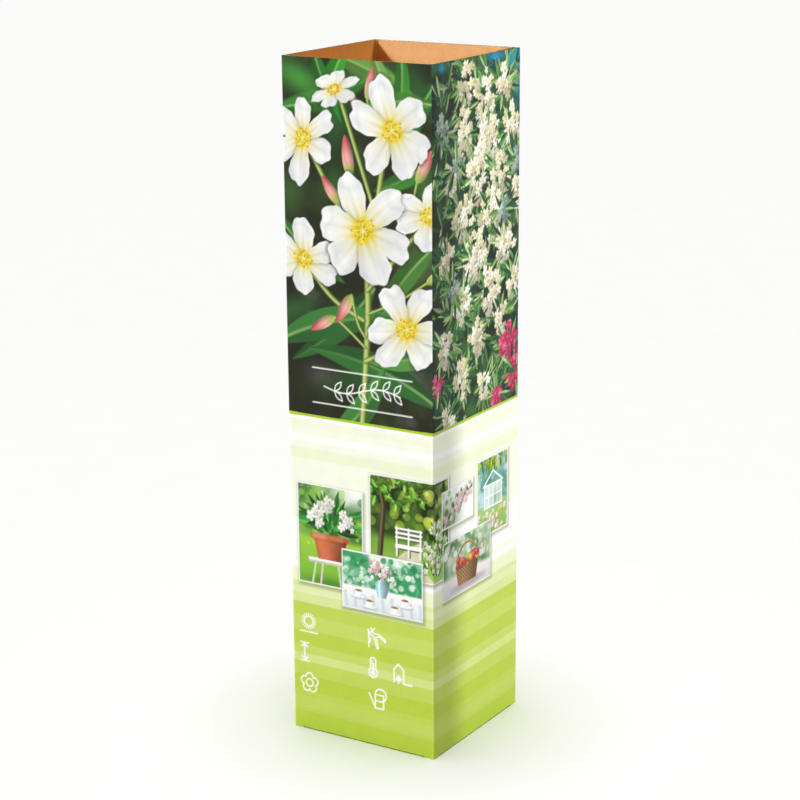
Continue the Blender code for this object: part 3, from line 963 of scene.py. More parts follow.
def path_scene(picture, size):
    """A pale path through a shady garden to a white bench under a tree, with daisies in front."""
    wide, high = size
    garden(picture, size, "#1B2A12", "#4C6E26", 71, 0.15)
    glints(picture, size, ("#B9CC3F", "#DDE36A", "#6E962F", "#8DB43A"), 90, 75, 0.5, 0.045)
    ground(picture, size, 0.60, "#6F9E36", "#A9CF5E", 7.0)
    if part := picture.window(0, wide, high * 0.60, high * 1.1):
        where, X, Y = part
        t = np.clip((Y / high - 0.60) / 0.40, 0, 1)
        middle = wide * (0.60 - 0.16 * np.sin(2.4 * t))
        half = wide * (0.03 + 0.22 * t)
        gravel = display("#E4D9C0") * (0.88 + 0.2 * clouds(X, Y, 2.2, 77))[..., None]
        picture.lay(where, gravel, 0.9 * smooth(half - np.abs(X - middle), -1.2, 1.2))
    trunk = size * [(0.10, 0.84), (0.15, 0.30), (0.09, 0)]
    stroke(picture, trunk, 3.6, "#3B3122", 1.0)
    stroke(picture, trunk - (0.7, 0), 1.4, "#7A694B", 1.2)
    rng = np.random.default_rng(73)
    for _ in range(90):
        px, py = size * rng.uniform((-0.05, -0.02), (0.60, 0.26))
        shade, turn = rng.uniform((0.4, 0), (1.5, 6.3))
        leaf(picture, px, py, turn, wide * 0.09, wide * 0.04, display("#6FA83A") * shade, edge=0.7, cover=0.9)
    for code, drop in (("#55613E", 0.9), ("#FBFAF6", 0.0)):
        for y in (0.50, 0.545, 0.59, 0.67, 0.69):
            stroke(picture, size * [(0.29, y), (0.58, y)] + [(drop, drop), (0, drop)], 1.3, code)
        for x in (0.30, 0.435, 0.57):
            stroke(picture, size * [(x, 0.49), (x, 0.78)] + (drop, 0), 1.1, code)
    for k in range(80):
        px, py = wide * rng.uniform(0.62, 1.04), high * (0.45 + 0.52 * k / 80)
        turn, shade = rng.uniform((-2.2, 0.5), (-0.9, 1.5))
        leaf(picture, px, py, turn, 6.5, 1.4, display("#6C9E38") * shade, edge=0.5)
        if k % 2:
            radius, turn, shade = rng.uniform((1.5, 0, 0.85), (2.6, 6, 1.0))
            floret(picture, px, py - 3, radius, turn, display("#FBF9F2") * shade)


def table_scene(picture, size):
    """A garden table with a white cloth, cups and a bunch of flowers."""
    wide, high = size
    garden(picture, size, "#3E9A5E", "#DDF0DF", 81, 0.9)
    glints(picture, size, (WHITE, "#F1FAF1", "#2F8F5C", "#1F7A4C"), 120, 85, 0.66, 0.035)
    ground(picture, size, 0.60, "#FDFDFC", "#D3DBE0", 1.5)
    rng = np.random.default_rng(83)
    for x in np.linspace(0.03, 0.98, 9):
        stroke(picture, size * [(x, rng.uniform(0.7, 0.8)), (x + 0.02, 1.02)], 1.5, "#BCC7CF", 2.4, 0.7)
    for _ in range(26):
        angle, shade, long = rng.uniform((-2.9, 0.6, 0.10), (-0.25, 1.5, 0.2))
        tone = display("#3F8A45") * shade
        leaf(picture, *size * (0.5, 0.44), angle, wide * long, wide * 0.03, tone, tone * 1.2, 0.5)
    for _ in range(26):
        px, py = size * rng.uniform((0.35, 0.06), (0.65, 0.42))
        tone = drawn(rng, ("#F6D9E2", WHITE, "#EFA9BE"))
        radius, turn, squash = rng.uniform((0.028, 0, 0.6), (0.042, 6, 1.0))
        floret(picture, px, py, wide * radius, turn, tone, squash)
    if part := picture.window(wide * 0.4, wide * 0.6, high * 0.40, high * 0.76):
        where, X, Y = part
        t = np.clip((Y / high - 0.42) / 0.31, 0, 1)
        half = wide * (0.048 + 0.035 * np.sin(np.pi * t**0.8))
        v = (X - wide * 0.5) / half
        shade = 1.12 - 0.38 * smooth(v, -0.4, 1) + 0.25 * np.exp(-(((v + 0.45) / 0.16) ** 2))
        inside = smooth(half - np.abs(X - wide * 0.5), -0.3, 0.3) * (t < 1) * (t > 0)
        picture.lay(where, display("#9FBFC8") * shade[..., None], 0.95 * inside)
    for x, y in ((0.20, 0.72), (0.79, 0.74), (0.34, 0.87), (0.66, 0.90)):
        for aside, drop, across, down, code, edge in (
            (0.5, 0.075, 0.09, 0.035, "#AEBBC3", 1.2),
            (0.0, 0.06, 0.085, 0.03, "#F4F7F8", 0.6),
            (0.0, 0.0, 0.048, 0.075, "#D9E0E4", 0.5),
            (-0.4, 0.0, 0.040, 0.070, WHITE, 0.8),
            (0.0, -0.045, 0.044, 0.020, "#9A6A3E", 0.5),
        ):
            disc(picture, wide * x + aside, high * (y + drop), wide * across, high * down, code, edge)


def branch_scene(picture, size):
    """Blossom on a branch against a pale sky."""
    wide, high = size
    box(picture, -1, wide + 1, -1, high + 1, "#F4FAFD", 0.3, 1.0, WHITE)
    blot(picture, *size * (0.05, 0.9), *size * (0.42, 0.55), "#5E7F4A", 0.95)
    glints(picture, size * (0.5, 1), ("#8FB36A", "#DDE8CE", "#4D6B3A"), 26, 95, 1.0, 0.12)
    stroke(picture, size * [(0.02, 0.92), (0.35, 0.62), (0.66, 0.46), (1.02, 0.12)], 1.5, "#4A362A", 0.6)
    stroke(picture, size * [(0.35, 0.62), (0.46, 0.20)], 1.0, "#4A362A")
    rng = np.random.default_rng(91)
    for _ in range(34):
        t, drop, chance = rng.uniform((0, -4, 0), (1, 4, 1))
        px, py = size * (0.05 + 0.9 * t, 0.86 - 0.72 * t) + (0, drop)
        if chance < 0.5:
            turn, shade = rng.uniform((-3, 0.7), (0, 1.2))
            leaf(picture, px, py, turn, 5, 2.2, display("#5D8F45") * shade, edge=0.5)
        radius, turn, shade = rng.uniform((1.5, 0, 0.88), (2.6, 6, 1.03))
        floret(picture, px, py, radius, turn, display("#F6D6DE") * shade)


def greenhouse_scene(picture, size):
    """A white greenhouse behind a lawn and a bed of flowers, under hanging leaves."""
    wide, high = size
    garden(picture, size, "#5D9B8C", "#BBD9DC", 99, 0.7)
    glints(picture, size, ("#8FC6A6", "#D8ECE6", "#4C8A70"), 30, 101)
    ground(picture, size, 0.62, "#A5CC72", "#7FB14C", 3.0)
    box(picture, wide * 0.22, wide * 0.80, high * 0.36, high * 0.66, "#D3E6E4", 0.5)
    blot(picture, *size * (0.62, 0.56), *size * (0.14, 0.10), "#6FA06A", 0.7)
    stroke(picture, size * [(0.18, 0.36), (0.51, 0.19), (0.84, 0.36)], 1.1, WHITE)
    for x in (0.22, 0.365, 0.51, 0.655, 0.80):
        stroke(picture, size * [(x, 0.36), (x, 0.66)], 0.8, WHITE)
    for y in (0.36, 0.51, 0.655):
        stroke(picture, size * [(0.20, y), (0.82, y)], 0.8, WHITE)
    rng = np.random.default_rng(97)
    for _ in range(46):
        px, py = size * rng.uniform((0, 0.70), (1, 0.97))
        tone = drawn(rng, ("#F6F4EA", WHITE, "#F0C9D6", "#EBD98A"))
        floret(picture, px, py, rng.uniform(1.1, 2.0), rng.uniform(0, 6), tone)
    for _ in range(46):
        px = wide * rng.uniform(-0.05, 1.05)
        tone = drawn(rng, ("#A9BE35", "#C9D44E", "#6F9430"), 0.8, 1.15)
        y, turn = rng.uniform((-0.05, 0.6), (0.10, 2.5))
        leaf(picture, px, high * y, turn, 6.0, 2.2, tone, tone * 1.15, 0.5)


def meadow_scene(picture, size):
    """A basket of fruit on a cloth in the grass."""
    wide, high = size
    garden(picture, size, "#557F4C", "#B9CDAE", 111, 0.6)
    glints(picture, size, ("#E3EEDC", "#F3D5DD", "#7FA66E", WHITE), 60, 115, 0.5, 0.04)
    ground(picture, size, 0.66, "#F1E9E8", "#CFC6CB", 4.0)
    disc(picture, *size * (0.53, 0.90), *size * (0.34, 0.07), "#A69AA0", 3.0, 0.8)
    if part := picture.window(wide * 0.22, wide * 0.78, high * 0.48, high * 0.90):
        where, X, Y = part
        t = np.clip((Y / high - 0.50) / 0.38, 0, 1)
        half = wide * (0.25 - 0.06 * t)
        weave = 0.80 + 0.25 * np.sin(X * 2.2) * np.sin(Y * 2.6)
        tone = display("#B08655") * (weave * (1.1 - 0.4 * smooth((X - wide / 2) / half, -0.5, 1)))[..., None]
        inside = smooth(half - np.abs(X - wide / 2), -0.3, 0.3) * (t < 1) * (t > 0)
        picture.lay(where, tone, inside)
    t = np.linspace(0, math.pi, 15)
    handle = size * np.stack([0.5 + 0.22 * np.cos(t), 0.50 - 0.34 * np.sin(t)], -1)
    stroke(picture, handle, 1.3, "#7D5A33")
    stroke(picture, handle - 0.3, 0.6, "#C79A62")
    rng = np.random.default_rng(113)
    for _ in range(26):
        px, py = size * rng.uniform((0.28, 0.38), (0.72, 0.52))
        tone = drawn(rng, ("#C9483A", "#E2A040", "#8FB645", "#B83A4A"))
        disc(picture, px + 0.4, py + 0.4, 2.2, 2.1, tone * 0.6, 0.6)
        disc(picture, px, py, 2.1, 2.0, tone, 0.6)
        blot(picture, px - 0.6, py - 0.6, 0.8, 0.8, WHITE, 0.5)


CARDS = (  # left, top, width and height in mm, left counted from the wide side's edge, and the scene
    (5.5, 251.7, 46.1, 62.9, pot_scene),
    (56.5, 238.7, 61.0, 61.5, path_scene),
    (36.4, 288.5, 56.1, 36.5, table_scene),
    (109.3, 246.7, 36.5, 23.5, branch_scene),
    (151.0, 239.1, 37.2, 49.1, greenhouse_scene),
    (110.5, 278.7, 56.5, 36.1, meadow_scene),
)


def card(sheet, left, top, wide, high, scene):
    """A small picture with a white border and a soft shadow to its lower right."""
    right, bottom, rim = left + wide, top + high, 0.7
    for grow, cover in ((1.8, 0.10), (1.1, 0.14), (0.5, 0.16)):
        edges = (left - grow + 1.0, right + grow + 0.6, top - grow + 1.3, bottom + grow + 0.9)
        box(sheet, *edges, "#46503A", 2.6, cover)
    box(sheet, left, right, top, bottom, "#FBFBFA", 0.5)
    if part := sheet.window(left + rim, right - rim, top + rim, bottom - rim):
        where, X, Y = part
        picture = Print(X.ravel() - left - rim, Y.ravel() - top - rim)
        scene(picture, np.array((wide, high)) - 2 * rim)
        sheet.ink[where] = picture.ink


SIGNS = (  # line width in mm, then points in mm from the side's top left corner
    (0.85, ((5.7, 346.4), (18.0, 346.4))),  # ground line under the sun
    (0.8, ((5.7, 353.7), (11.7, 353.7))),  # height: two bars and a double arrow
    (0.8, ((5.7, 365.6), (11.7, 365.6))),
    (0.9, ((8.7, 354.2), (8.7, 365.1))),
    (0.9, ((6.7, 356.4), (8.7, 354.2), (10.7, 356.4))),
    (0.9, ((6.7, 362.9), (8.7, 365.1), (10.7, 362.9))),
    (0.8, ((54.7, 336.6), (54.9, 347.4))),  # a twig with a leaf, and the shears beside it
    (0.7, ((55.2, 341.2), (56.4, 342.3), (55.1, 344.9))),
    (0.8, ((54.5, 336.3), (55.5, 339.2), (57.4, 339.7), (58.5, 341.0), (59.3, 343.3), (60.7, 347.6))),
    (0.8, ((60.7, 347.6), (61.7, 347.0), (59.9, 340.6), (62.4, 339.5), (66.4, 342.6), (66.5, 341.1))),
    (0.8, ((56.5, 334.9), (57.4, 337.6), (59.4, 338.3), (62.4, 338.4), (66.5, 341.1))),
    (0.8, ((59.1, 334.7), (56.9, 337.5), (55.0, 337.7))),
    (0.7, ((56.5, 355.8), (57.6, 355.8))),  # the marks of the thermometer
    (0.7, ((56.5, 357.4), (57.6, 357.4))),
    (1.4, ((57.7, 358.0), (57.7, 363.2))),
    (1.0, ((72.4, 366.2), (72.4, 357.7), (75.5, 354.3), (79.1, 357.7), (79.1, 366.2), (84.8, 366.2))),  # house
    (1.0, ((75.5, 361.7), (75.5, 366.2))),  # and the tree inside it
    (1.2, ((74.7, 363.0), (76.4, 363.0))),
    (1.3, ((74.1, 364.1), (77.0, 364.1))),
    (1.0, ((54.8, 376.8), (59.0, 385.6), (64.8, 385.6), (64.8, 377.0), (59.0, 377.0), (59.0, 385.6))),  # can
    (0.9, ((59.2, 381.0), (60.6, 380.8), (62.0, 381.2), (63.4, 380.8), (64.6, 381.1))),
)


def pictograms(sheet):
    """Plain white care signs: sun, height, flower, shears, thermometer, house and watering can."""
    for width, points in SIGNS:
        stroke(sheet, points, width, WHITE)

    def arc(x, y, radius, start, end, width=0.95, lobes=None):
        angle = np.radians(np.linspace(start, end, 61))
        reach = radius if lobes is None else lobes(angle)
        stroke(sheet, np.stack([x + reach * np.cos(angle), y + reach * np.sin(angle)], -1), width, WHITE)

    def five_petals(angle):
        # outline of five circles of radius p whose middles lie c from the flower's own, one of them straight up
        c, p = 3.75, 2.55
        off = (angle + math.pi / 2 + math.pi / 5) % (2 * math.pi / 5) - math.pi / 5
        return c * np.cos(off) + np.sqrt(p * p - (c * np.sin(off)) ** 2)

    arc(11.9, 339.4, 3.1, 0, 360, 0.8)
    for angle in np.arange(20) * 2 * math.pi / 20:
        way = np.array((math.cos(angle), math.sin(angle)))
        stroke(sheet, ((11.9, 339.4) + 3.9 * way, (11.9, 339.4) + 5.1 * way), 0.6, WHITE, 0.4)
    arc(11.8, 379.4, 0, 0, 360, lobes=five_petals)
    arc(11.8, 379.4, 2.5, 0, 360)
    arc(57.7, 355.5, 1.9, 180, 360)
    for x in (55.8, 59.6):
        stroke(sheet, ((x, 355.5), (x, 360.9)), 0.95, WHITE)
    arc(57.7, 363.3, 3.0, -50, 230)
    disc(sheet, 57.7, 363.5, 1.5, 1.7, WHITE)
    arc(62.9, 377.0, 3.9, 180, 425)


def corner_shade(across):
    """Painted shade: how much a narrow side is darkened beside its leading corner, at this many mm from the
    corner.
    """
    return 0.80 + 0.20 * smooth(across, *SHADE)


def paint_face(sheet, quarter):
    """The whole print of one side, from the top edge down."""
    wide = quarter % 2 == 0
    if sheet.down.min() < PICTURES:
        (flower_picture if wide else hedge_picture)(sheet, quarter // 2)
    bands(sheet)
    if sheet.down.max() > PICTURES:
        for left, top, across, high, scene in CARDS:
            card(sheet, left if wide else left - FACE, top, across, high, scene)
        if wide:
            pictograms(sheet)
    # painted shade: the narrow sides darken towards their leading corner
    if not wide:
        sheet.ink *= corner_shade(sheet.across)[None, :, None]


def printed(across, down):
    """Linear ink colours of the wrap: across counts round it from the front's left edge, down from the top."""
    across, repeats = np.unique(across, return_inverse=True)
    ink = np.ones((len(down), len(across), 3))
    for turn in range(-1, 4):
        here = (across >= turn * FACE) & (across < (turn + 1) * FACE)
        if here.any():
            face = Print(across[here] - turn * FACE, down)
            paint_face(face, turn % 4)
            ink[:, here] = face.ink
    return linear(np.clip(ink, 0, 1))[:, repeats]


# ---------------------------------------------------------------- shapes of the board


def washed(x, start, end):
    """How far the flutes let a liner sink between them, in mm: half a cosine wave, level near the ends."""
    board = bpy.context.scene.carton_board
    level = smooth(x, start, start + 3) * (1 - smooth(x, end - 3, end))
    return board.washboard / MM * level * (0.5 - 0.5 * np.cos(2 * math.pi * x / (board.pitch / MM)))


def wall_strips(side):
    """A wall's upright strips: name, start, end and foot in mm. The right wall runs on to the seam."""
    yield side, -NOTCH, NOTCH, CREASE_END
    if side == "right":
        yield "right_seam", NOTCH, HALF, 0.0


def wall_end(side):
    """Where a wall ends along it, in mm from its middle."""
    return HALF if side == "right" else NOTCH


def flute_wave(x, middle, board):
    """Middle line of the fluted paper between the liners: a sine of the flutes' pitch."""
    swing = (BOARD - 2 * board.liner / MM - board.medium / MM) / 2 - 0.01
    return middle + swing * np.sin(2 * math.pi * x / (board.pitch / MM))


def skin(name, where, front, back, across, z, stands_for=None):
    """A printed liner between two lines in plan: the one in front is painted at these places of the wrap."""
    ink = printed(across, (TOP - z)[::-1])[::-1].reshape(-1, 3)
    shape = thin_sheet(*(place(where, a, b, z[:, None]) for a, b in (front, back)))
    make_piece(name, shape, offset_print_on_coated_liner, ink, stands_for=stands_for)


def layer(name, where, near, far, z, recipe, ink=None, stands_for=None):
    """A layer of bare board between two lines in plan, over these heights."""
    shape = closed_shell(*(place(where, a, b, np.array(z)[:, None]) for a, b in (near, far)))
    make_piece(name, shape, recipe, ink, stands_for=stands_for)


class CARTON_OT_printed_walls(bpy.types.Operator):
    """Lay the printed outer liner on the four walls, as an upper sheet with the pictures and a lower one"""

    bl_idname = "carton.printed_walls"
    bl_label = "Printed Walls"

    def execute(self, context):
        board, look = context.scene.carton_board, context.scene.carton_print
        step, liner = look.step / MM, board.liner / MM
        middle = TOP - look.picture / MM
        for quarter, side in enumerate(QUARTERS):
            for strip, start, end, foot in wall_strips(side):
                x = span(start, end, step)
                front = (x, 0.25 * washed(x, -NOTCH, wall_end(side)))
                back = (np.array([start, end]), liner)
                across = quarter * FACE + HALF + x
                for part, low, high in (("picture", middle, TOP), ("bands", foot, middle)):
                    stands_for = f"wall_{side}" if part == "picture" and strip == side else None
                    z = span(low, high, step)
                    skin(f"wall_{strip}_{part}", side, front, back, across, z, stands_for)
        return {"FINISHED"}


class CARTON_OT_wall_inside(bpy.types.Operator):
    """Fill the walls with upright flutes and line them with bare kraft paper"""

    bl_idname = "carton.wall_inside"
    bl_label = "Wall Flutes and Lining"

    def execute(self, context):
        board = context.scene.carton_board
        liner, paper = board.liner / MM, board.medium / MM
        for side in QUARTERS:
            for strip, start, end, foot in wall_strips(side):
                x = span(start, end, FLUTE_STEP)
                wave = flute_wave(x, BOARD / 2, board)
                near, far = (x, wave - paper / 2), (x, wave + paper / 2)
                layer(f"wall_{strip}_flutes", side, near, far, (foot, TOP), fluted_recycled_medium)
                x = span(start, end, 0.5)[::-1]
                sunk = BOARD - washed(x, -NOTCH, wall_end(side))
                near, far = (x, sunk), (x, sunk - liner)
                layer(f"wall_{strip}_lining", side, near, far, span(foot, TOP, LINING_ROWS), bare_kraft_liner)
        return {"FINISHED"}


def bend(radius, steps=6):
    """Quarter circle round the point (radius, radius) of a corner, from its second arm to the clockwise one."""
    angle = np.linspace(0, math.pi / 2, steps + 1)
    return radius - radius * np.cos(angle), radius - radius * np.sin(angle)


def normals(path):
    """Unit normals of a plan path, to the right of its way, which is into the tube here."""
    along = np.gradient(path, axis=0)
    along = along / np.linalg.norm(along, axis=1, keepdims=True)
    return np.stack([along[:, 1], -along[:, 0]], -1)


class CARTON_OT_corners(bpy.types.Operator):
    """Fold the board round the four corners: printed outside, crushed flutes, and a bead along the inside"""

    bl_idname = "carton.corners"
    bl_label = "Corner Creases"

    def execute(self, context):
        board, look = context.scene.carton_board, context.scene.carton_print
        liner, step, radius = board.liner / MM, look.step / MM, board.outer_radius / MM
        z = span(0, TOP, step)
        for corner, (arm, start) in CORNERS.items():
            down_arm, along_arm = span(ARM, radius, step), span(radius, arm, step)
            a, b = bend(radius)
            share = np.linspace(-radius, radius, len(a))[1:-1]
            front = (np.r_[0 * down_arm, a[1:-1], along_arm], np.r_[down_arm, b[1:-1], 0 * along_arm])
            across = start + np.r_[-down_arm, share, along_arm]
            if corner == "back_right":  # its second arm lies hidden under the glued seam, and carries no picture
                across = np.maximum(across, start - BOARD)
            a, b = bend(radius - liner)
            back = (np.r_[liner, liner + a, arm], np.r_[ARM, liner + b, liner])
            name = f"corner_{corner}"
            skin(f"{name}_print", corner, front, back, across, z, name)
            self.add_lining(corner, arm, board)
            self.add_flutes(corner, arm, board)
        return {"FINISHED"}

    def add_lining(self, corner, arm, board):
        """The lining with its bead, rounded into the flats, and a painted highlight that is palest where the
        bead rises from them.
        """
        bead, fillet = board.bead / MM, 0.4
        centre = BOARD + math.sqrt((bead + fillet) ** 2 - fillet**2)
        lean = math.atan2(fillet, centre - BOARD)
        first = np.linspace(-math.pi / 2, -math.pi + lean, 5)
        turn = np.linspace(lean, math.pi / 2 - lean, 13)[1:-1]
        half_a = np.r_[arm, centre + fillet * np.cos(first)]
        half_b = np.r_[BOARD, BOARD + fillet + fillet * np.sin(first)]
        a = np.r_[half_a, BOARD + bead * np.cos(turn), half_b[::-1]]
        b = np.r_[half_b, BOARD + bead * np.sin(turn), half_a[::-1]]
        b[-1] = ARM
        away = np.degrees(np.abs(turn - math.pi / 4))  # from the crest of the bead
        flat = np.zeros(len(half_a))
        # painted highlight on the bead: pale over its whole front, palest in a line on each flank
        bead_highlight = np.r_[flat, 0.25 + 0.75 * np.exp(-(((away - HIGHLIGHT_ANGLE) / 10) ** 2)), flat]
        path, z = np.stack([a, b], -1), span(0, TOP, LINING_ROWS)
        deep = path - normals(path) * board.liner / MM
        ink = np.repeat(np.tile(bead_highlight, len(z))[:, None], 3, 1)
        layer(f"corner_{corner}_lining", corner, path.T, deep.T, z, bare_kraft_liner, ink)

    def add_flutes(self, corner, arm, board):
        """The fluted paper round the bend, crushed flat along the crease."""
        radius, mid = board.outer_radius / MM, board.outer_radius / MM - BOARD / 2
        quarter = np.linspace(0, math.pi / 2, 9)[1:-1]
        down_arm, along_arm = span(ARM, radius, FLUTE_STEP), span(radius, arm, FLUTE_STEP)
        a = np.r_[0 * down_arm + BOARD / 2, radius - mid * np.cos(quarter), along_arm]
        b = np.r_[down_arm, radius - mid * np.sin(quarter), 0 * along_arm + BOARD / 2]
        path = np.stack([a, b], -1)[::-1]
        away = np.r_[0, np.cumsum(np.hypot(*np.diff(path, axis=0).T))]
        from_crease = np.abs(away - away[-1] * arm / (arm + ARM))
        swing = flute_wave(away, 0, board) * (CRUSHED + (1 - CRUSHED) * smooth(from_crease, 1.0, 3.2))
        normal = normals(path)
        line, half = path + normal * swing[:, None], normal * board.medium / MM / 2
        near, far = (line + half).T, (line - half).T
        layer(f"corner_{corner}_flutes", corner, near, far, (0.0, TOP), fluted_recycled_medium)


class CARTON_OT_glue_tab(bpy.types.Operator):
    """Add the glued tab inside the right wall, with its liners and flutes"""

    bl_idname = "carton.glue_tab"
    bl_label = "Glue Tab"

    def execute(self, context):
        board = context.scene.carton_board
        liner, paper = board.liner / MM, board.medium / MM
        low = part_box("glue_tab")[0] / MM
        flat, x = np.array([NOTCH, low.y]), span(NOTCH, low.y, FLUTE_STEP)
        wave = flute_wave(x, LAYER + BOARD / 2, board)
        for name, a, near, far, recipe, stands_for in (
            ("liner", flat, LAYER + liner, LAYER, bare_kraft_liner, None),
            ("flutes", x, wave + paper / 2, wave - paper / 2, fluted_recycled_medium, None),
            ("lining", flat, LAYER + BOARD, LAYER + BOARD - liner, bare_kraft_liner, "glue_tab"),
        ):
            z = (low.z, TOP)
            layer(f"glue_tab_{name}", "right", (a, near), (a, far), z, recipe, stands_for=stands_for)
        return {"FINISHED"}


def climb(rise):
    """Underside of a flap that rises to its layer: the start and end of its ramp, where it is mitred."""
    mitre = GAP / math.sqrt(2)
    slope = math.atan2(rise, RAMP_END - BOARD - 2 * mitre)
    return [(BOARD + 2 * mitre + BOARD * math.tan(slope / 2), 0), (RAMP_END, rise)]


def rounding(x, u, start, end):
    """(u, half width) along an arc about (x, u), its angle counted from the half width's direction."""
    angle = np.radians(np.linspace(start, end, 9))
    return list(zip(u + ROUND * np.sin(angle), x + ROUND * np.cos(angle)))


def flap_forms():
    """Each flap's underside as (u, w), and half its width as (u, x), all in mm."""
    start, end = (CREASE_END, 0), (CREASE_END, FLAP)
    slanted = FLAP + SLANT - FRONT_END  # half the front flap's width where its slants would meet its free edge
    front = [end, (SLANT, FLAP)] + rounding(slanted - ROUND * math.tan(math.pi / 8), FRONT_END - ROUND, 45, 90)
    front += [(FRONT_END + 0.01, ROOT)] + rounding(ROOT, FRONT_END + ROUND, 270, 180)[1:]
    tip = FLAP - TAPER * (SIDE_END - ROUND - RAMP_END) - ROUND * math.hypot(1, TAPER)
    side = [end, (RAMP_END, FLAP)] + rounding(tip, SIDE_END - ROUND, math.degrees(math.atan(TAPER)), 90)
    side_path = [start] + climb(2 * LAYER) + [(SIDE_END, 2 * LAYER)]
    climbs, climbed, tongue_end = TONGUE
    front_path = [start, (climbs, 0), (climbed, LAYER), (tongue_end, LAYER)]
    back_path = [start] + climb(LAYER) + [(BACK_END, LAYER)]
    return {
        "front": (front_path, front + [(tongue_end, ROOT - ROUND)]),
        "back": (back_path, [end] + rounding(FLAP - ROUND, BACK_END - ROUND, 0, 90)),
        "left": (side_path, side),
        "right": (side_path, side),
    }


def flap_layer(side, path, outline, x, lower, upper):
    """A layer of a flap as a closed shell, between two depths above its underside.

    A depth is a number or a function of x. Rows follow the underside, and the points of a row are clipped to
    half the flap's width there.
    """
    path, outline = np.array(path, float), np.array(outline, float)
    along = np.diff(path, axis=0) / np.linalg.norm(np.diff(path, axis=0), axis=1, keepdims=True)
    normal = np.stack([-along[:, 1], along[:, 0]], -1)
    before, after = normal[np.r_[0, 0 : len(normal)]], normal[np.r_[0 : len(normal), -1]]
    mitre = (before + after) / (1 + np.sum(before * after, axis=1, keepdims=True))
    rows = np.r_[path[:, 0], outline[:, 0], span(path[0, 0], path[-1, 0], 3), SLOT, BLEED]
    u = np.unique(np.round(rows, 4))
    w = np.interp(u, path[:, 0], path[:, 1])
    lean_u, lean_w = (np.interp(u, path[:, 0], mitre[:, k])[:, None] for k in (0, 1))
    half = np.interp(u, outline[:, 0], outline[:, 1])
    clipped = np.clip(x[None, :], -half[:, None], half[:, None])
    widest = np.maximum(half[:-1], half[1:])[:, None]
    keep = (x[None, :-1] < widest) & (x[None, 1:] > -widest)
    if side == "back":
        middle = (u[:-1] + u[1:])[:, None] / 2
        hole = (middle > SLOT[0]) & (middle < SLOT[1]) & (np.abs(x[:-1] + x[1:])[None, :] / 2 < SLOT_HALF)
        keep &= ~hole
    grids = []
    for depth in (upper, lower):
        depth = depth(clipped) if callable(depth) else np.full(clipped.shape, depth)
        grids.append(place(side, clipped, u[:, None] + lean_u * depth, w[:, None] + lean_w * depth))
    return closed_shell(*grids, keep), np.repeat(u, len(x))


class CARTON_OT_flaps(bpy.types.Operator):
    """Close the bottom with its four flaps: coated outside, flutes, bare kraft inside, a slot and its tongue"""

    bl_idname = "carton.flaps"
    bl_label = "Bottom Flaps"

    def execute(self, context):
        board, look = context.scene.carton_board, context.scene.carton_print
        liner, paper = board.liner / MM, board.medium / MM
        lime, white = np.array(look.lime), np.array(look.white)

        def wave(shift):
            return lambda x: flute_wave(x, BOARD / 2, board) + shift

        def sunk(x):
            return BOARD - washed(x, -FLAP, FLAP)

        for side, (path, outline) in flap_forms().items():
            for name, step, lower, upper, recipe in (
                ("coated", 1, 0, liner, offset_print_on_coated_liner),
                ("flutes", FLUTE_STEP, wave(-paper / 2), wave(paper / 2), fluted_recycled_medium),
                ("lining", 0.5, BOARD - liner, sunk, bare_kraft_liner),
            ):
                shape, u = flap_layer(side, path, outline, span(-FLAP, FLAP, step), lower, upper)
                coated = name == "coated"
                ink = np.tile(mix(lime, white, smooth(u, *BLEED)), (2, 1)) if coated else None
                stands_for = f"flap_{side}" if name == "lining" else None
                make_piece(f"flap_{side}_{name}", shape, recipe, ink, True, f"{side}_flap", stands_for)
        return {"FINISHED"}


class CARTON_OT_bottom_creases(bpy.types.Operator):
    """Add a rounded crease under each of the four walls, where the board folds into its flap"""

    bl_idname = "carton.bottom_creases"
    bl_label = "Bottom Creases"

    def execute(self, context):
        board, look = context.scene.carton_board, context.scene.carton_print
        radius, small = board.outer_radius / MM, CREASE_END - BOARD
        outer, inner = np.linspace(0, math.pi / 2, 25), np.linspace(0, math.pi / 2, 13)
        u = np.r_[0, radius - radius * np.cos(outer), CREASE_END, BOARD + small * np.cos(inner)]
        w = np.r_[CREASE_END, radius - radius * np.sin(outer), 0, BOARD + small * np.sin(inner)]
        printed_faces = len(outer) + 1
        lime = encoded(look.lime)
        for side in QUARTERS:
            wide = side in ("front", "back")
            # columns where the narrow sides' creases take the same painted shade beside their leading corner
            x = np.r_[-FLAP, span(SHADE[0] - HALF, SHADE[1] - HALF, 2), FLAP]
            shade = np.ones(len(x)) if wide else corner_shade(HALF + x)
            ink = np.repeat(linear(lime * shade[:, None]), len(u), axis=0)
            shape = loop_prism([place(side, station, u, w) for station in x])
            crease = make_piece(f"crease_{side}", shape, offset_print_on_coated_liner, ink, body=None)
            crease.data.materials.append(material(bare_kraft_liner))
            index = np.ones(len(crease.data.polygons), np.int32)
            sides = len(shape[1])
            index[:sides] = np.arange(sides) % len(u) >= printed_faces
            crease.data.polygons.foreach_set("material_index", index)
            reach = small / 2
            start, end = place(side, 0, 1 - reach, 1 + reach) * MM, place(side, 0, 1 + reach, 1 - reach) * MM
            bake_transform(crease)
        return {"FINISHED"}


# ---------------------------------------------------------------- stage


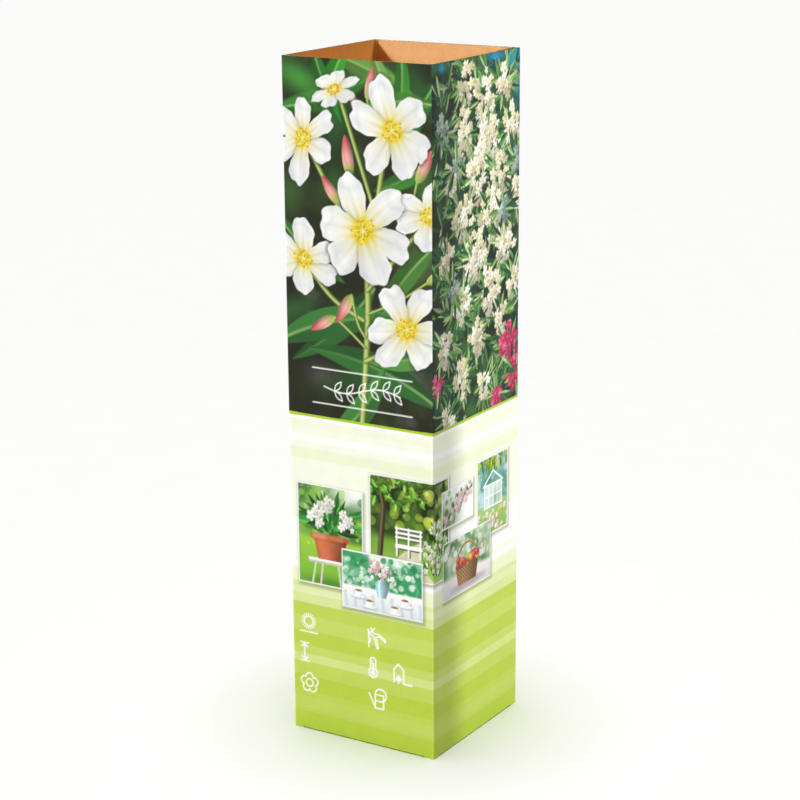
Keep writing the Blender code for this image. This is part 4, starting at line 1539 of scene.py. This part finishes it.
class CARTON_OT_stage(bpy.types.Operator):
    """Set up the pale floor, the soft lights and the camera"""

    bl_idname = "carton.stage"
    bl_label = "Stage"

    def execute(self, context):
        scene, stage = context.scene, context.scene.carton_stage
        t = np.linspace(-FLOOR_REACH, FLOOR_REACH, 21)
        top = np.stack(np.broadcast_arrays(t[None, :], t[:, None], -FLOOR_DROP), -1)
        floor = make_piece("floor", closed_shell(top, top - (0, 0, FLOOR_THICK)), matt_painted_floor, body=None)
        self.add_sky(scene, stage)
        self.add_suns(scene, stage, floor)
        camera = bpy.data.cameras.new("camera")
        camera.lens, camera.sensor_width = stage.lens, 36
        camera.clip_start, camera.clip_end = 0.05, 100
        eye = bpy.data.objects.new("camera", camera)
        scene.collection.objects.link(eye)
        eye.location = stage.place
        eye.rotation_mode = "QUATERNION"
        turn = Matrix.Rotation(stage.heading, 3, "Z") @ Matrix.Rotation(math.pi / 2 - stage.pitch, 3, "X")
        eye.rotation_quaternion = (turn @ Matrix.Rotation(stage.roll, 3, "Z")).to_quaternion()
        scene.camera = eye
        scene.view_settings.view_transform = "Standard"
        return {"FINISHED"}

    def add_sky(self, scene, stage):
        """A sky that is seen as pale as the floor, while it lights the carton only weakly."""
        scene.world = bpy.data.worlds.new("even_light")
        scene.world.use_nodes = True
        tree = scene.world.node_tree
        background = tree.nodes["Background"]
        background.inputs["Color"].default_value = (1, 1, 1, 1)
        seen = add(tree, "ShaderNodeLightPath").outputs["Is Camera Ray"]
        inputs = {0: seen, 1: stage.backdrop - stage.sky, 2: stage.sky}
        level = add(tree, "ShaderNodeMath", inputs, operation="MULTIPLY_ADD")
        tree.links.new(level.outputs[0], background.inputs["Strength"])

    def add_suns(self, scene, stage, floor):
        """Soft suns, each of which lights one set of surfaces. The sets only list objects, so none is linked."""
        names = ("bare_board", "printed_side", "whole_carton", "ground")
        bare, rest, carton, ground = (bpy.data.collections.new(name) for name in names)
        for obj in (obj for obj in scene.objects if obj.type == "MESH" and obj != floor):
            (bare if obj.name.endswith("_lining") else rest).objects.link(obj)
            carton.objects.link(obj)
        ground.objects.link(floor)
        plain = (1, 1, 1)
        for name, energy, toward, size, receivers, colour in (
            ("key_sun", stage.key, (0.56, 0.62, -0.54), 12, carton, plain),
            ("inside_sun", stage.inside, (0.56, 0.62, -0.54), 11, bare, plain),
            ("fill_sun", stage.fill, (-1.0, 0.0, 0.0), 4, rest, plain),
            ("front_sun", stage.front, (0.0, 1.0, 0.0), 4, rest, plain),
            ("side_sun", stage.front, (1.0, 0.0, 0.0), 4, rest, plain),
            ("rear_sun", stage.rear, (0.0, -1.0, 0.0), 8, rest, plain),
            ("top_sun", stage.top, (0.0, 0.0, -1.0), 30, ground, plain),
            ("left_sun", stage.left, (-0.60, -0.30, -0.74), 12, bare, stage.warm),
        ):
            light = bpy.data.lights.new(name, "SUN")
            light.energy, light.angle, light.color = energy, math.radians(size), colour
            sun = bpy.data.objects.new(name, light)
            scene.collection.objects.link(sun)
            x, y, z = toward
            sun.rotation_euler = (math.atan2(math.hypot(x, y), -z), 0, math.atan2(-x, y))
            sun.light_linking.receiver_collection = receivers


class CARTON_PT_panel(bpy.types.Panel):
    """The carton's pieces"""

    bl_label = "Plant Carton"
    bl_idname = "CARTON_PT_panel"
    bl_space_type = "VIEW_3D"
    bl_region_type = "UI"
    bl_category = "Carton"

    def draw(self, context):
        for operator in OPERATORS:
            self.layout.operator(operator.bl_idname)
        for group in (context.scene.carton_board, context.scene.carton_print, context.scene.carton_stage):
            column = self.layout.column()
            for name in group.__annotations__:
                column.prop(group, name)


SETTINGS = (("carton_board", CartonBoard), ("carton_print", CartonPrint), ("carton_stage", CartonStage))
OPERATORS = (
    CARTON_OT_printed_walls,
    CARTON_OT_wall_inside,
    CARTON_OT_corners,
    CARTON_OT_glue_tab,
    CARTON_OT_flaps,
    CARTON_OT_bottom_creases,
    CARTON_OT_stage,
)


def register():
    for name, group in SETTINGS:
        bpy.utils.register_class(group)
        setattr(bpy.types.Scene, name, PointerProperty(type=group))
    for operator in OPERATORS:
        bpy.utils.register_class(operator)
    bpy.utils.register_class(CARTON_PT_panel)


def unregister():
    bpy.utils.unregister_class(CARTON_PT_panel)
    for operator in reversed(OPERATORS):
        bpy.utils.unregister_class(operator)
    for name, group in reversed(SETTINGS):
        delattr(bpy.types.Scene, name)
        bpy.utils.unregister_class(group)


def main():
    """Make every piece and the stage."""
    register()
    for operator in OPERATORS:
        getattr(bpy.ops.carton, operator.bl_idname.split(".")[1])()
    bpy.context.view_layer.update()


if __name__ == "__main__":
    main()
